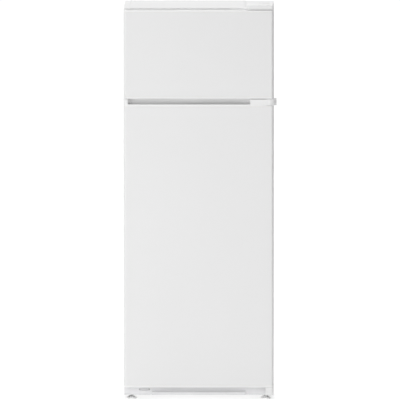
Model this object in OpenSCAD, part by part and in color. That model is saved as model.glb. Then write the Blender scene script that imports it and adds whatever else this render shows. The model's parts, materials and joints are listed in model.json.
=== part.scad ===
// Free-standing two-door refrigerator with the freezer on top, hinged on its right side.
// Frame: +Z is up, the doors face -Y, +X is the hinge side.
// The origin lies on the floor under the middle of the cabinet. All sizes are millimetres.

/* [Cabinet] */
// Width of the cabinet and of both doors
body_w = 550; // [540:2:600]
// Height of the cabinet above the floor
body_h = 1440; // [1430:2:1480]
// Depth from the door fronts to the wall spacers
body_d = 595; // [590:2:640]
// Depth behind the rear panel taken by the condenser
rear_space = 40; // [36:1:50]
// Height of the cabinet's lower edge above the floor
foot_h = 15; // [14:0.5:17]
// Insulated wall beside the fridge space, liner included
fridge_wall = 45; // [42:1:48]
// Insulated wall beside the freezer space, liner included
freezer_wall = 53; // [50:1:58]
// Thickness of the painted steel sheets
sheet_t = 0.8; // [0.6:0.1:1.2]
// Thickness of the plastic inner liners
liner_t = 1.5; // [1:0.1:2]

/* [Doors] */
// Thickness of each door, from its skin to the back of its liner
door_t = 52; // [50:1:54]
// Room that the gasket fills between door and cabinet
gasket_gap = 5; // [5:0.5:7]
// Height of the fridge door's lower edge
door_low = 48; // [48:1:52]
// Height of the fridge door's upper edge
split_z = 1109; // [1107:0.5:1110]
// Gap between the two doors
door_gap = 2; // [2:0.5:4]
// Radius of the doors' upright front edges
door_edge_r = 7; // [4:0.5:9]
// Distance of the hinge pins from the cabinet's right side
pin_inset_x = 16; // [15:0.5:17]
// Distance of the hinge pins behind the door fronts
pin_inset_y = 20.5; // [20:0.5:22]

/* [Grip pocket] */
// Left end of the grip pocket
pocket_left = -260; // [-262:1:-200]
// Right end of the grip pocket
pocket_right = 190; // [150:1:200]
// Depth of the grip pocket behind the door fronts
pocket_d = 26; // [24:1:34]
// Height of the visible mouth of the pocket in the fridge door
pocket_mouth = 19; // [15:1:20]

/* [Inside] */
// Number of turns of the condenser tube
condenser_rows = 16; // [12:1:17]
// Number of upright wires on each side of the condenser
condenser_wires = 24; // [8:2:32]
// Height of the lower glass shelf
shelf_low_z = 470; // [440:5:500]
// Height of the upper glass shelf
shelf_high_z = 745; // [700:5:780]

/* [Hidden] */

// Cabinet planes
half_w = body_w / 2;
front_y = -body_d / 2;
cab_front = front_y + door_t + gasket_gap;
cab_rear = body_d / 2 - rear_space;
door_back = front_y + door_t;
panel_t = 1.5;
wrap_top = body_h - panel_t;
fit = 0.2;              // gap between parts that are assembled together
flange_w = 24;          // width of the wrap's front flange

// Freezer and fridge spaces
freezer_x = half_w - freezer_wall;
freezer_back = cab_rear - 57;
freezer_floor = split_z + 28;
freezer_ceiling = body_h - 55;
fridge_x = half_w - fridge_wall;
fridge_back = cab_rear - 42;
fridge_floor = 82;
fridge_ceiling = split_z - 45;
bay_front = cab_rear - 168;     // front wall of the machine bay
bay_top = 214;                  // ceiling of the machine bay
tray_t = 1.2;                   // steel of the floor and of the machine bay's lining
step_back = bay_front - 44;     // back of the fridge space beside the bay
step_z = bay_top + 44;          // floor of the fridge space above the bay
foam_low = 48;                  // lower face of the insulation

// Hinge line
hinge_x = half_w - pin_inset_x;
hinge_y = front_y + pin_inset_y;
pin_r = 5;
pin_bore_r = 5.06;
boss_r = 10;                    // bush block round each pin
freezer_low = split_z + door_gap;
freezer_high = body_h - 4;
notch_z = split_z - 24;         // floor of the notch that clears the middle hinge
notch_x = hinge_x - 21.2;         // left wall of that notch
door_side_gap = 2;                // the doors stand this far inside the cabinet's sides
cap_t = 2.5;                    // wall of the door caps
cap_seam = split_z - 27;        // lower edge of the fridge door's top cap
skin_t = 0.6;
freezer_seam = freezer_low + 7.5;
freezer_top_seam = freezer_high - 7;
fridge_low_seam = door_low + 8;

// Door furniture
fridge_dike_left = -fridge_x + 8;
freezer_dike_left = -freezer_x + 14;
dike_right = hinge_x - 48;
dike_w = 10;
bin_left = fridge_dike_left + dike_w + 0.5;
freezer_bin_left = freezer_dike_left + dike_w + 0.5;
bin_right = dike_right - dike_w - 0.5;
bin_back = hinge_y + 110;
bin_wall = 2.2;

round_fn = 48;
wire_fn = 16;

// ---------- helpers ----------

// Block between two opposite corners
module block(low, high) translate(low) cube(high - low);

// Rectangle with round corners, in the XY plane
module round_rect(low, high, r) {
    translate([low.x + r, low.y]) square([high.x - low.x - 2 * r, high.y - low.y]);
    translate([low.x, low.y + r]) square([high.x - low.x, high.y - low.y - 2 * r]);
    for (x = [low.x + r, high.x - r], y = [low.y + r, high.y - r])
        translate([x, y]) circle(r, $fn = round_fn);
}

// Upright prism on a rounded rectangle
module round_block(low, high, r)
    translate([0, 0, low.z]) linear_extrude(high.z - low.z) round_rect(low, high, r);

// Outline drawn in the YZ plane, extruded from x0 to x1
module side_profile(x0, x1, points)
    translate([x0, 0, 0]) rotate([90, 0, 90]) linear_extrude(x1 - x0) polygon(points);

// Round bar between two points
module rod(a, b, r) {
    d = b - a;
    translate(a) rotate([0, acos(d.z / norm(d)), atan2(d.y, d.x)])
        cylinder(h = norm(d), r = r, $fn = wire_fn);
}

// Pipe through a list of points, with ball corners
module pipe(route, r) {
    for (i = [0 : len(route) - 2]) rod(route[i], route[i + 1], r);
    for (i = [1 : len(route) - 2]) translate(route[i]) sphere(r, $fn = wire_fn);
}

// Cylinder along Z between two heights
module post(x, y, z0, z1, r) translate([x, y, z0]) cylinder(h = z1 - z0, r = r, $fn = round_fn);

// Cylinder along X between two places
module bar_x(x0, x1, y, z, r)
    translate([x0, y, z]) rotate([0, 90, 0]) cylinder(h = x1 - x0, r = r, $fn = round_fn);

// Cylinder along Y between two places
module bar_y(x, y0, y1, z, r)
    translate([x, y0, z]) rotate([-90, 0, 0]) cylinder(h = y1 - y0, r = r, $fn = round_fn);

// Open-topped tray with walls of even thickness
module tray(low, high, wall, r) {
    difference() {
        round_block(low, high, r);
        round_block(low + [wall, wall, wall], high + [-wall, -wall, 1], max(r - wall, 0.5));
    }
}

// ---------- cabinet ----------

// The fridge space, grown outwards by g; it steps up over the machine bay
module fridge_space(g) {
    side_profile(-fridge_x - g, fridge_x + g, [
        [cab_front - 1, fridge_floor - g], [step_back + g, fridge_floor - g],
        [step_back + g, step_z - g], [fridge_back + g, step_z - g],
        [fridge_back + g, fridge_ceiling + g], [cab_front - 1, fridge_ceiling + g]
    ]);
}

// The freezer space, grown outwards by g
module freezer_space(g)
    block([-freezer_x - g, cab_front - 1, freezer_floor - g],
          [freezer_x + g, freezer_back + g, freezer_ceiling + g]);

// Vertical hole of the defrost drain
drain_x = 40;
drain_y = cab_rear - 70;
drain_r = 7;
module drain_hole() post(drain_x, drain_y, bay_top - 10, step_z + 5, drain_r + fit);

// Steel wrap: both sides, the top and the front flanges that the gaskets meet
module outer_wrap() color("whitesmoke") difference() {
    block([-half_w, cab_front, foot_h], [half_w, cab_rear, wrap_top]);
    block([-half_w + sheet_t, cab_front + sheet_t, foot_h - 1],
          [half_w - sheet_t, cab_rear + 1, wrap_top - sheet_t]);
    block([-half_w + flange_w, cab_front - 1, foot_h - 1],
          [half_w - flange_w, cab_front + 2, wrap_top - flange_w]);
}

// Flat cover of the cabinet top, cut short beside the upper hinge cover
top_panel_left = -half_w + 19;
top_panel_right = half_w - 104;
module top_panel() color("white")
    round_block([top_panel_left, cab_front + 14, wrap_top], [top_panel_right, cab_rear - 8, body_h], 4);

// Rear sheet above the machine bay
module rear_panel() color("gainsboro")
    block([-half_w + sheet_t + fit, cab_rear - sheet_t, bay_top + 2],
          [half_w - sheet_t - fit, cab_rear, wrap_top - sheet_t - fit]);

// Polyurethane body between the wrap and the liners
module cabinet_foam() color("khaki") {
    skin = sheet_t + fit;
    difference() {
        block([-half_w + skin, cab_front + liner_t + fit, foam_low],
              [half_w - skin, cab_rear - skin, wrap_top - skin]);
        fridge_space(liner_t + fit);
        freezer_space(liner_t + fit);
        block([-half_w, bay_front - tray_t - fit, foam_low - 1],
              [half_w, cab_rear + 1, bay_top + fit]);
        drain_hole();
    }
}

// Front rim of a liner, which closes the insulation beside the opening
rim_x = half_w - flange_w - fit;
module liner_rim(z0, z1) block([-rim_x, cab_front, z0], [rim_x, cab_front + liner_t, z1]);

// Shelf runners moulded into both side walls of the fridge liner
ledge_w = 8;
ledge_t = 6;
ledge_z = [fridge_floor + 156, shelf_low_z - 0.2, shelf_high_z - 0.2];
module shelf_ledges(reach) {
    for (side = [-1, 1], z = ledge_z)
        block([min(side * fridge_x, side * (fridge_x - ledge_w)), cab_front + 100, z - ledge_t],
              [max(side * fridge_x, side * (fridge_x - ledge_w)), z < step_z ? step_back : reach, z]);
}

rail_low = fridge_ceiling + 6;
rail_high = freezer_floor - 5;

module freezer_liner() color("ivory") {
    difference() {
        union() {
            intersection() {
                freezer_space(liner_t);
                block([-half_w, cab_front, 0], [half_w, cab_rear, body_h]);
            }
            liner_rim(rail_high + fit, wrap_top - flange_w - fit);
        }
        freezer_space(0);
    }
    // Runners for the wire shelf
    for (side = [-1, 1])
        block([min(side * freezer_x, side * (freezer_x - ledge_w)), cab_front + 80, freezer_shelf_z - 8],
              [max(side * freezer_x, side * (freezer_x - ledge_w)), freezer_back, freezer_shelf_z - 3]);
}

module fridge_liner() color("ivory") {
    difference() {
        union() {
            intersection() {
                fridge_space(liner_t);
                block([-half_w, cab_front, 0], [half_w, cab_rear, body_h]);
            }
            liner_rim(foam_low, rail_low - fit);
        }
        fridge_space(0);
        drain_hole();
    }
    shelf_ledges(fridge_back);
}

// Cross rail between the two openings; both gaskets and the middle hinge meet it
module mullion_rail() color("whitesmoke")
    block([-rim_x, cab_front, rail_low], [rim_x, cab_front + liner_t, rail_high]);

// Kick panel under the fridge door, with a lip along its lower edge and an oval vent
kick_right = hinge_x - 13.5;
kick_lip_left = -171;
kick_lip_right = 173;
vent_x = -199;
vent_z = 37;
module kick_panel() color("gainsboro") {
    back = cab_front - fit;
    face = back - 4;
    lip = face - 14;
    kick_top = door_low - 3;
    difference() {
        union() {
            block([-half_w + 3, face, foot_h + 2], [kick_right, back, kick_top]);
            side_profile(kick_lip_left, kick_lip_right, [
                [back, foot_h + 1], [lip + 2, foot_h + 1], [lip, foot_h + 3],
                [lip, foot_h + 12], [face, foot_h + 17], [back, foot_h + 17]
            ]);
        }
        for (x = [vent_x - 14, vent_x + 14]) bar_y(x, lip - 1, back + 1, vent_z, 5);
        block([vent_x - 14, lip - 1, vent_z - 5], [vent_x + 14, back + 1, vent_z + 5]);
    }
}

// Steel floor: the sheet under the insulation, the machine bay lining and the compressor shelf
foot_x = half_w - 29;
foot_y = cab_front + 24;
stud_r = 5;
roller_x = half_w - 50;
roller_y = cab_rear - 34;
roller_r = 15;
roller_w = 22;
roller_bore_r = 4.06;
axle_r = 4;
shelf_z = foot_h + 1;
module base_tray() color("silver") {
    inner_x = half_w - sheet_t - fit;
    t = tray_t;
    cheek_t = 2;
    difference() {
        union() {
            block([-inner_x, cab_front + 3, foam_low - fit - t], [inner_x, bay_front, foam_low - fit]);
            block([-inner_x, bay_front - t, shelf_z], [inner_x, bay_front, bay_top]);
            block([-inner_x, bay_front - t, bay_top - t], [inner_x, cab_rear - sheet_t, bay_top]);
            block([-inner_x, bay_front - t, shelf_z], [inner_x, cab_rear, shelf_z + 1.5]);
            block([-inner_x, cab_front + 3, foot_h + 1], [inner_x, cab_front + 3 + t, foam_low - fit]);
            for (side = [-1, 1])
                block([side * foot_x - 17, foot_y - 17, foot_h + 1],
                      [side * foot_x + 17, foot_y + 17, foam_low - 1]);
        }
        for (side = [-1, 1]) {
            post(side * foot_x, foot_y, 0, foam_low - 4, stud_r + 0.06);
            block([side * roller_x - roller_w / 2 - 1, roller_y - roller_r - 2, 0],
                  [side * roller_x + roller_w / 2 + 1, roller_y + roller_r + 2, shelf_z + 10]);
        }
        drain_hole();
    }
    for (side = [-1, 1]) {
        for (edge = [-1, 1]) {
            cheek_x = side * roller_x + edge * (roller_w / 2 + 1 + cheek_t / 2);
            difference() {
                block([cheek_x - cheek_t / 2, roller_y - 12, roller_r - 8],
                      [cheek_x + cheek_t / 2, roller_y + 12, shelf_z + 14]);
                bar_x(cheek_x - cheek_t, cheek_x + cheek_t, roller_y, roller_r, axle_r);
            }
        }
        axle_half = roller_w / 2 + 4;
        bar_x(side * roller_x - axle_half, side * roller_x + axle_half, roller_y, roller_r, axle_r);
    }
}

// ---------- hinges ----------

plate_t = 4;
arm_half = 13;          // half width of the hinge arms

// Flat arm from the cabinet out to the hinge line, with a round end
module hinge_arm(z0, z1, back) {
    block([hinge_x - arm_half, hinge_y, z0], [hinge_x + arm_half, back, z1]);
    post(hinge_x, hinge_y, z0, z1, arm_half);
}

screw_x = [hinge_x - 7, hinge_x + 7];
screw_hole_r = 2.6;
upper_screw_y = [cab_front + 25, cab_front + 55];
module upper_hinge() color("silver") difference() {
    union() {
        hinge_arm(wrap_top, wrap_top + plate_t, cab_front + 70);
        post(hinge_x, hinge_y, freezer_high - 22, wrap_top, pin_r);
    }
    for (x = screw_x, y = upper_screw_y) post(x, y, wrap_top - 1, wrap_top + plate_t + 1, screw_hole_r);
}

// Moulded cover of the upper hinge, with a sunk panel in its top
cover_t = 2;
upper_cover_low = wrap_top + fit;
upper_cover_high = body_h + 16;
upper_cover_left = hinge_x - 80;
upper_cover_right = hinge_x + 15.4;
module upper_hinge_cover() color("white") {
    low = [upper_cover_left, front_y + 5, upper_cover_low];
    high = [upper_cover_right, cab_front + 90, upper_cover_high];
    inner = [cover_t, cover_t, -1];
    difference() {
        round_block(low, high, 6);
        round_block(low + inner, high - [cover_t, cover_t, cover_t + 2], 4);
        round_block([hinge_x - 37, low.y + 8, high.z - 1.5], [high.x - 10, high.y - 10, high.z + 1], 3);
    }
}

// Middle hinge: a plate on the cross rail, an arm in the door's notch and a pin up and down
mid_arm_low = split_z - 12.6;
mid_plate_low = split_z - 20;
mid_plate_high = split_z - 1.2;
mid_screw_z = [mid_plate_low + 3.7, mid_plate_high - 3.7];
hinge_plate_t = 3;
module middle_hinge() color("silver") difference() {
    union() {
        hinge_arm(mid_arm_low, mid_arm_low + plate_t, cab_front);
        block([hinge_x - arm_half, cab_front - hinge_plate_t, mid_plate_low],
              [hinge_x + arm_half, cab_front, mid_plate_high]);
        post(hinge_x, hinge_y, mid_arm_low + plate_t, freezer_low + 16, pin_r);
        post(hinge_x, hinge_y, notch_z - 18, mid_arm_low, pin_r);
    }
    for (x = screw_x, z = mid_screw_z) bar_y(x, cab_front - 4, cab_front + 1, z, screw_hole_r);
}

// Moulded cover of the middle hinge; it stands out past the cabinet's side
mid_cover_low = notch_z + 1.5;
mid_cover_high = freezer_low - 1;
mid_cover_side = half_w + 12;
mid_cover_r = 19.5;
module mid_cover_plan(inset) {
    left = hinge_x - mid_cover_r + inset;
    right = mid_cover_side - inset;
    translate([hinge_x, hinge_y]) circle(mid_cover_r - inset, $fn = round_fn);
    translate([left, hinge_y]) square([right - left - 8, cab_front - fit - hinge_y]);
    translate([right - 12, hinge_y + 6]) square([12, cab_front - fit - hinge_y - 6]);
    translate([right - 8 + inset, hinge_y + 6]) circle(8 - inset, $fn = round_fn);
}
module middle_hinge_cover() color("white") difference() {
    translate([0, 0, mid_cover_low]) linear_extrude(mid_cover_high - mid_cover_low) mid_cover_plan(0);
    translate([0, 0, mid_cover_low + cover_t])
        linear_extrude(mid_cover_high - mid_cover_low - 2 * cover_t) mid_cover_plan(cover_t);
    block([hinge_x - arm_half - 1, cab_front - 8, mid_cover_low + cover_t],
          [hinge_x + arm_half + 1, cab_front + 1, mid_cover_high - cover_t]);
    post(hinge_x, hinge_y, mid_cover_low - 1, mid_cover_high + 1, pin_r + 0.4);
}

// Lower hinge: an arm under the door, a front lug and a pin up into the door
low_arm_z = foot_h + 3;
low_plate_z = door_low - 4;
low_screw_z = [low_arm_z + 9, low_plate_z - 5];
module lower_hinge() color("silver") difference() {
    union() {
        hinge_arm(low_arm_z, low_arm_z + plate_t, cab_front);
        block([hinge_x - arm_half, cab_front - hinge_plate_t, low_arm_z],
              [hinge_x + arm_half, cab_front, low_plate_z]);
        block([hinge_x - arm_half, hinge_y - arm_half - 1, low_arm_z],
              [hinge_x + arm_half, hinge_y - arm_half + 1.5, low_plate_z + 2]);
        post(hinge_x, hinge_y, low_arm_z, door_low + 20, pin_r);
        post(hinge_x, hinge_y, low_arm_z, door_low - fit, pin_r + 3.5);
    }
    for (x = screw_x, z = low_screw_z)
        bar_y(x, cab_front - 4, cab_front + 1, z, screw_hole_r);
}

// Pan-head screws of the three hinges
module screw(head_r, head_t, length) {
    cylinder(h = head_t, r = head_r, $fn = round_fn);
    translate([0, 0, -length]) cylinder(h = length, r = 2.2, $fn = round_fn);
}
module hinge_screws() color("dimgray") {
    for (x = screw_x, y = upper_screw_y) translate([x, y, wrap_top + plate_t]) screw(4.5, 2.5, plate_t - 0.3);
    for (x = screw_x, z = concat(mid_screw_z, low_screw_z))
        translate([x, cab_front - hinge_plate_t, z]) rotate([90, 0, 0]) screw(3.4, 2.2, hinge_plate_t - 0.3);
}

// Caps on the unused hinge places of the left side
module blanking_caps() color("white") {
    block([-half_w + 2, cab_front + 2, wrap_top], [top_panel_left - 2, cab_front + 70, wrap_top + 1.3]);
    block([-half_w + 4, cab_front - 2, split_z - 6], [-half_w + flange_w - 4, cab_front, split_z + 4]);
}

// ---------- feet and rollers ----------

// Levelling foot: a ribbed disc on a stud that turns in the floor of the cabinet
module front_foot(side) translate([side * foot_x, foot_y, 0]) {
    cylinder(h = 7, r = 18, $fn = round_fn);
    translate([0, 0, 7]) cylinder(h = 5, r = 11, $fn = 6);
    translate([0, 0, 12]) cylinder(h = foam_low - 20, r = stud_r, $fn = round_fn);
}
module front_foot_left() color("dimgray") front_foot(-1);
module front_foot_right() color("dimgray") front_foot(1);

module rear_roller(side) difference() {
    x = side * roller_x;
    bar_x(x - roller_w / 2, x + roller_w / 2, roller_y, roller_r, roller_r);
    bar_x(x - roller_w, x + roller_w, roller_y, roller_r, roller_bore_r);
    // Recess in each face, between the rim and the hub
    for (face = [x - roller_w / 2, x + roller_w / 2]) difference() {
        bar_x(face - 3, face + 3, roller_y, roller_r, roller_r - 3);
        bar_x(face - 4, face + 4, roller_y, roller_r, roller_bore_r + 3);
    }
}
module rear_roller_left() color("dimgray") rear_roller(-1);
module rear_roller_right() color("dimgray") rear_roller(1);

// ---------- machine bay ----------

comp_x = 60;
comp_y = (bay_front + cab_rear) / 2 + 2;
comp_r = 68;
comp_low = shelf_z + 1.5 + 6.5;
comp_top = bay_top - 32;
comp_edge_r = 26;
grommet_x = 62;
grommet_y = 52;
grommet_hole_r = 4;
tray_floor = shelf_z + 1.5;

// Hermetic shell on a foot plate
module compressor() color("black") {
    difference() {
        round_block([comp_x - grommet_x - 14, comp_y - grommet_y - 14, comp_low],
                    [comp_x + grommet_x + 14, comp_y + grommet_y + 14, comp_low + 3], 10);
        for (x = [-1, 1], y = [-1, 1])
            post(comp_x + x * grommet_x, comp_y + y * grommet_y,
                 comp_low - 1, comp_low + 4, grommet_hole_r + 2.1);
    }
    translate([comp_x, comp_y, comp_low + 3]) rotate_extrude($fn = round_fn) {
        height = comp_top - comp_low - 3;
        square([comp_r - comp_edge_r, height]);
        translate([0, comp_edge_r]) square([comp_r, height - 2 * comp_edge_r]);
        for (z = [comp_edge_r, height - comp_edge_r])
            translate([comp_r - comp_edge_r, z]) circle(comp_edge_r, $fn = round_fn);
    }
    // Weld bead round the middle of the shell
    post(comp_x, comp_y, (comp_low + comp_top) / 2 - 3, (comp_low + comp_top) / 2 + 3, comp_r + 2.5);
}

module compressor_grommets() color("dimgray")
    for (x = [-1, 1], y = [-1, 1]) difference() {
        union() {
            post(comp_x + x * grommet_x, comp_y + y * grommet_y, tray_floor, comp_low, 9);
            post(comp_x + x * grommet_x, comp_y + y * grommet_y, comp_low, comp_low + 9, grommet_hole_r + 2);
        }
        post(comp_x + x * grommet_x, comp_y + y * grommet_y, tray_floor - 1, comp_low + 12, grommet_hole_r);
    }

// Relay box on the compressor, with the round inlet of the supply lead
terminal_x = comp_x - comp_r - 6;
module terminal_box() color("dimgray") {
    low = [terminal_x - 34, comp_y - 28, comp_low + 38];
    high = [terminal_x, comp_y + 28, comp_low + 98];
    inlet_z = low.z + 15;
    difference() {
        union() {
            block(low, high);
            bar_y(low.x + 12, high.y, high.y + 12, inlet_z, 9);
        }
        bar_y(low.x + 12, high.y - 6, high.y + 13, inlet_z, 5);
    }
    // Clip that reaches the shell
    block([high.x, comp_y - 8, low.z + 24], [high.x + 2.5, comp_y + 8, high.z - 24]);
}

module evaporation_pan() color("gray")
    tray([drain_x - 70, bay_front + 22, comp_top + 2], [drain_x + 70, cab_rear - 26, bay_top - 6], 2, 8);

// Wire-on-tube condenser: level runs joined by bends, with upright wires on both sides
cond_y = cab_rear + 14;
cond_tube_r = 2.4;
cond_pitch = 62;
cond_half = 200;
cond_low = 330;
wire_r = 0.8;
module condenser() color("black") {
    last = condenser_rows - 1;
    for (i = [0 : last]) {
        z = cond_low + i * cond_pitch;
        bar_x(-cond_half, cond_half, cond_y, z, cond_tube_r);
        if (i < last) {
            side = i % 2 == 0 ? 1 : -1;
            translate([side * cond_half, cond_y, z + cond_pitch / 2]) rotate([90, 0, 0])
                rotate([0, 0, side > 0 ? -90 : 90]) rotate_extrude(angle = 180, $fn = round_fn)
                    translate([cond_pitch / 2, 0]) circle(cond_tube_r, $fn = wire_fn);
        }
    }
    wire_pitch = 2 * (cond_half - 10) / (condenser_wires - 1);
    for (i = [0 : condenser_wires - 1], face = [-1, 1])
        post(-cond_half + 10 + i * wire_pitch, cond_y + face * (cond_tube_r + wire_r + 0.05),
             cond_low - 12, cond_low + last * cond_pitch + 12, wire_r);
}

// Plastic spacers that carry the condenser and keep the cabinet off the wall
bracket_x = cond_half + cond_pitch / 2 + cond_tube_r + 4;
module condenser_brackets() color("dimgray")
    for (side = [-1, 1], z = [cond_low + 2 * cond_pitch, cond_low + (condenser_rows - 3) * cond_pitch]) {
        near = side * bracket_x;
        far = side * (bracket_x + 14);
        block([min(near, far), cab_rear, z], [max(near, far), body_d / 2, z + 40]);
        reach = side * (cond_half + 12);
        block([min(reach, near), cond_y + cond_tube_r + 2 * wire_r + 0.3, z + 12],
              [max(reach, near), cond_y + cond_tube_r + 2 * wire_r + 2.3, z + 28]);
    }

// Discharge pipe to the condenser, the filter drier with its thin pipe, and the suction pipe
tube_r = 3;
pipe_end_z = cond_low - 30;
discharge_x = comp_x + comp_r + 20;
discharge_z = comp_low + 60;
drier_x = -140;
drier_y = comp_y + 40;
suction_x = comp_x - 30;
suction_z = comp_low + 70;
module refrigerant_tubes() color("peru") {
    wall_y = cab_rear + 8;
    pipe([[comp_x + comp_r + 0.1, comp_y, discharge_z], [discharge_x, comp_y, discharge_z],
          [discharge_x, comp_y, discharge_z + 30], [discharge_x, wall_y, discharge_z + 30],
          [discharge_x, wall_y, pipe_end_z]], tube_r);
    post(drier_x, drier_y, 70, 150, 9.5);
    post(drier_x, drier_y, 150, 162, 5);
    pipe([[drier_x, drier_y, 160], [drier_x, drier_y, 185], [drier_x, wall_y, 185],
          [drier_x, wall_y, pipe_end_z]], tube_r - 1);
    // The suction pipe passes behind the shell and turns down to the left
    shell_y = comp_y + sqrt(pow(comp_r, 2) - pow(suction_x - comp_x, 2)) + 1.5;
    turn_y = comp_y + comp_r + 14;
    pipe([[suction_x, shell_y, suction_z], [suction_x, turn_y, suction_z], [-100, turn_y, suction_z],
          [-100, turn_y, suction_z - 50], [drier_x, turn_y, suction_z - 50]], tube_r);
}

module drain_tube() color("white") difference() {
    post(drain_x, drain_y, bay_top - 16, step_z, drain_r);
    post(drain_x, drain_y, bay_top - 17, step_z + 1, drain_r - 1.5);
}

// ---------- inside the cabinet ----------

// Roll-bonded plate on the back wall of the fridge space, with its raised channels
module evaporator_plate() color("silver") {
    plate_x = 185;
    low = 640;
    high = 980;
    plate_y = fridge_back - 6;
    block([-plate_x, plate_y, low], [plate_x, plate_y + 1.5, high]);
    for (z = [low + 30 : 35 : high - 20])
        intersection() {
            bar_x(-plate_x + 20, plate_x - 20, plate_y + 0.5, z, 3.5);
            block([-plate_x, plate_y - 4, z - 5], [plate_x, plate_y + 1, z + 5]);
        }
    for (x = [-1, 1], z = [low + 12, high - 12])
        bar_y(x * (plate_x - 12), plate_y + 1.5, fridge_back, z, 5);
}

// Control housing under the fridge ceiling: knob, door plunger and lamp
box_half = 78;
box_front = cab_front + 26;
box_back = cab_front + 260;
box_low = fridge_ceiling - 40;
knob_x = -34;
knob_z = fridge_ceiling - 21;
knob_r = 15;
switch_x = 52;
switch_z = fridge_ceiling - 21;
switch_r = 4;
lamp_front = box_front + 90;
lamp_half = 60;
module thermostat_housing() color("white") difference() {
    block([-box_half, box_front, box_low], [box_half, box_back, fridge_ceiling - fit]);
    block([-box_half + 2, box_front + 2, box_low + 2], [box_half - 2, box_back - 2, fridge_ceiling + 1]);
    // Window of the lamp, bore of the knob's shaft and bore of the door plunger
    block([-lamp_half, lamp_front, box_low - 1], [lamp_half, box_back - 20, box_low + 3]);
    bar_y(knob_x, box_front - 1, box_front + 3, knob_z, 3.06);
    bar_y(switch_x, box_front - 1, box_front + 3, switch_z, switch_r + 0.06);
}

module thermostat_knob() color("gainsboro") {
    bar_y(knob_x, box_front - 12, box_front - 0.3, knob_z, knob_r);
    block([knob_x - 2, box_front - 15, knob_z - knob_r + 3],
          [knob_x + 2, box_front - 11, knob_z + knob_r - 1]);
    bar_y(knob_x, box_front - 1, box_front + 14, knob_z, 3);
}

module lamp_bulb() color("lightyellow") {
    lamp_y = lamp_front + 40;
    lamp_z = box_low + 18;
    bar_x(-44, -20, lamp_y, lamp_z, 9);
    bar_x(-20, 4, lamp_y, lamp_z, 11);
    translate([4, lamp_y, lamp_z]) sphere(11, $fn = round_fn);
}

// Ribbed translucent window under the lamp
module lamp_cover() color("lightcyan") {
    block([-lamp_half + fit, lamp_front + fit, box_low], [lamp_half - fit, box_back - 20 - fit, box_low + 2]);
    for (y = [lamp_front + 12 : 12 : box_back - 30])
        block([-lamp_half + 4, y, box_low - 1.5], [lamp_half - 4, y + 3, box_low]);
}

// Spring plunger that the closed fridge door holds in
module door_switch() color("whitesmoke") {
    bar_y(switch_x, door_back + 0.3, box_front + 16, switch_z, switch_r);
    bar_y(switch_x, box_front + 12, box_front + 16, switch_z, switch_r + 2);
}

// Glass shelves on the liner's ledges; their front and back edges carry trims
glass_t = 4;
shelf_front = cab_front + 112;
shelf_back = fridge_back - 17;
module shelf_glass(z) block([-fridge_x + 2, shelf_front, z], [fridge_x - 2, shelf_back, z + glass_t]);
module shelf_glass_upper() color("lightblue") shelf_glass(shelf_high_z);
module shelf_glass_lower() color("lightblue") shelf_glass(shelf_low_z);

// Glass lid of the crisper
cover_z = fridge_floor + 156.2;
module crisper_cover() color("lightblue")
    block([-fridge_x + 2, shelf_front, cover_z], [fridge_x - 2, step_back - 4, cover_z + glass_t]);

// Front and back trims of the shelves and of the crisper lid
module shelf_trims() color("white") {
    trim_x = fridge_x - 11;
    for (z = [shelf_high_z, shelf_low_z, cover_z])
        difference() {
            round_block([-trim_x, shelf_front - 8, z - 7], [trim_x, shelf_front + 6, z + glass_t + 4], 2);
            block([-fridge_x, shelf_front, z], [fridge_x, shelf_front + 8, z + glass_t]);
        }
    for (z = [shelf_high_z, shelf_low_z])
        difference() {
            block([-trim_x, shelf_back - 8, z - 3], [trim_x, shelf_back + 4, z + 18]);
            block([-fridge_x, shelf_back - 9, z], [fridge_x, shelf_back, z + glass_t]);
            block([-fridge_x, shelf_back - 9, z + glass_t], [fridge_x, shelf_back, z + 19]);
        }
}

// Crisper drawer with a grip lip along its front
crisper_x = 190;
crisper_front = cab_front + 125;
crisper_back = step_back - 5;
crisper_low = fridge_floor + 2;
crisper_high = fridge_floor + 142;
module crisper_drawer() color("aliceblue") {
    tray([-crisper_x, crisper_front, crisper_low], [crisper_x, crisper_back, crisper_high], 2.5, 12);
    difference() {
        block([-crisper_x + 20, crisper_front - 9, crisper_high - 22],
              [crisper_x - 20, crisper_front + 1, crisper_high - 2]);
        block([-crisper_x + 23, crisper_front - 6, crisper_high - 23],
              [crisper_x - 23, crisper_front, crisper_high - 5]);
    }
}

// Wire shelf of the freezer: a frame with bars from front to back
freezer_shelf_z = 1262;
freezer_shelf_front = cab_front + 100;
module freezer_shelf() color("white") {
    frame_r = 2.5;
    bar_r = 1.5;
    x = freezer_x - 4;
    back = freezer_back - 6;
    for (y = [freezer_shelf_front, (freezer_shelf_front + back) / 2, back])
        bar_x(-x, x, y, freezer_shelf_z, frame_r);
    for (i = [-9 : 9])
        bar_y(i * 22, freezer_shelf_front - 2, back + 2, freezer_shelf_z + frame_r + bar_r - 0.3, bar_r);
}

// Ice tray: two rows of round-cornered cells in a slab
ice_columns = 5;
module ice_tray() color("azure") {
    low = [-180, freezer_shelf_front + 60, freezer_shelf_z + 6];
    cell = 30;
    wall = 2.5;
    high = low + [ice_columns * (cell + wall) + wall, 2 * (cell + wall) + wall, 32];
    difference() {
        round_block(low, high, 6);
        for (i = [0 : ice_columns - 1], j = [0 : 1]) {
            corner = low + [wall + i * (cell + wall), wall + j * (cell + wall), wall];
            round_block(corner, corner + [cell, cell, 40], 5);
        }
    }
}

// ---------- doors ----------

// Plan outline of both doors, shrunk inwards by the inset
module door_plan(inset = 0) {
    r = door_edge_r;
    half = half_w - door_side_gap;
    translate([-half + inset, front_y + r]) square([2 * (half - inset), door_t - r - inset]);
    translate([-half + r, front_y + inset]) square([2 * (half - r), r]);
    for (side = [-1, 1]) translate([side * (half - r), front_y + r]) circle(r - inset, $fn = round_fn);
}
module door_slab(z0, z1, inset = 0)
    translate([0, 0, z0]) linear_extrude(z1 - z0) door_plan(inset);

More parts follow.
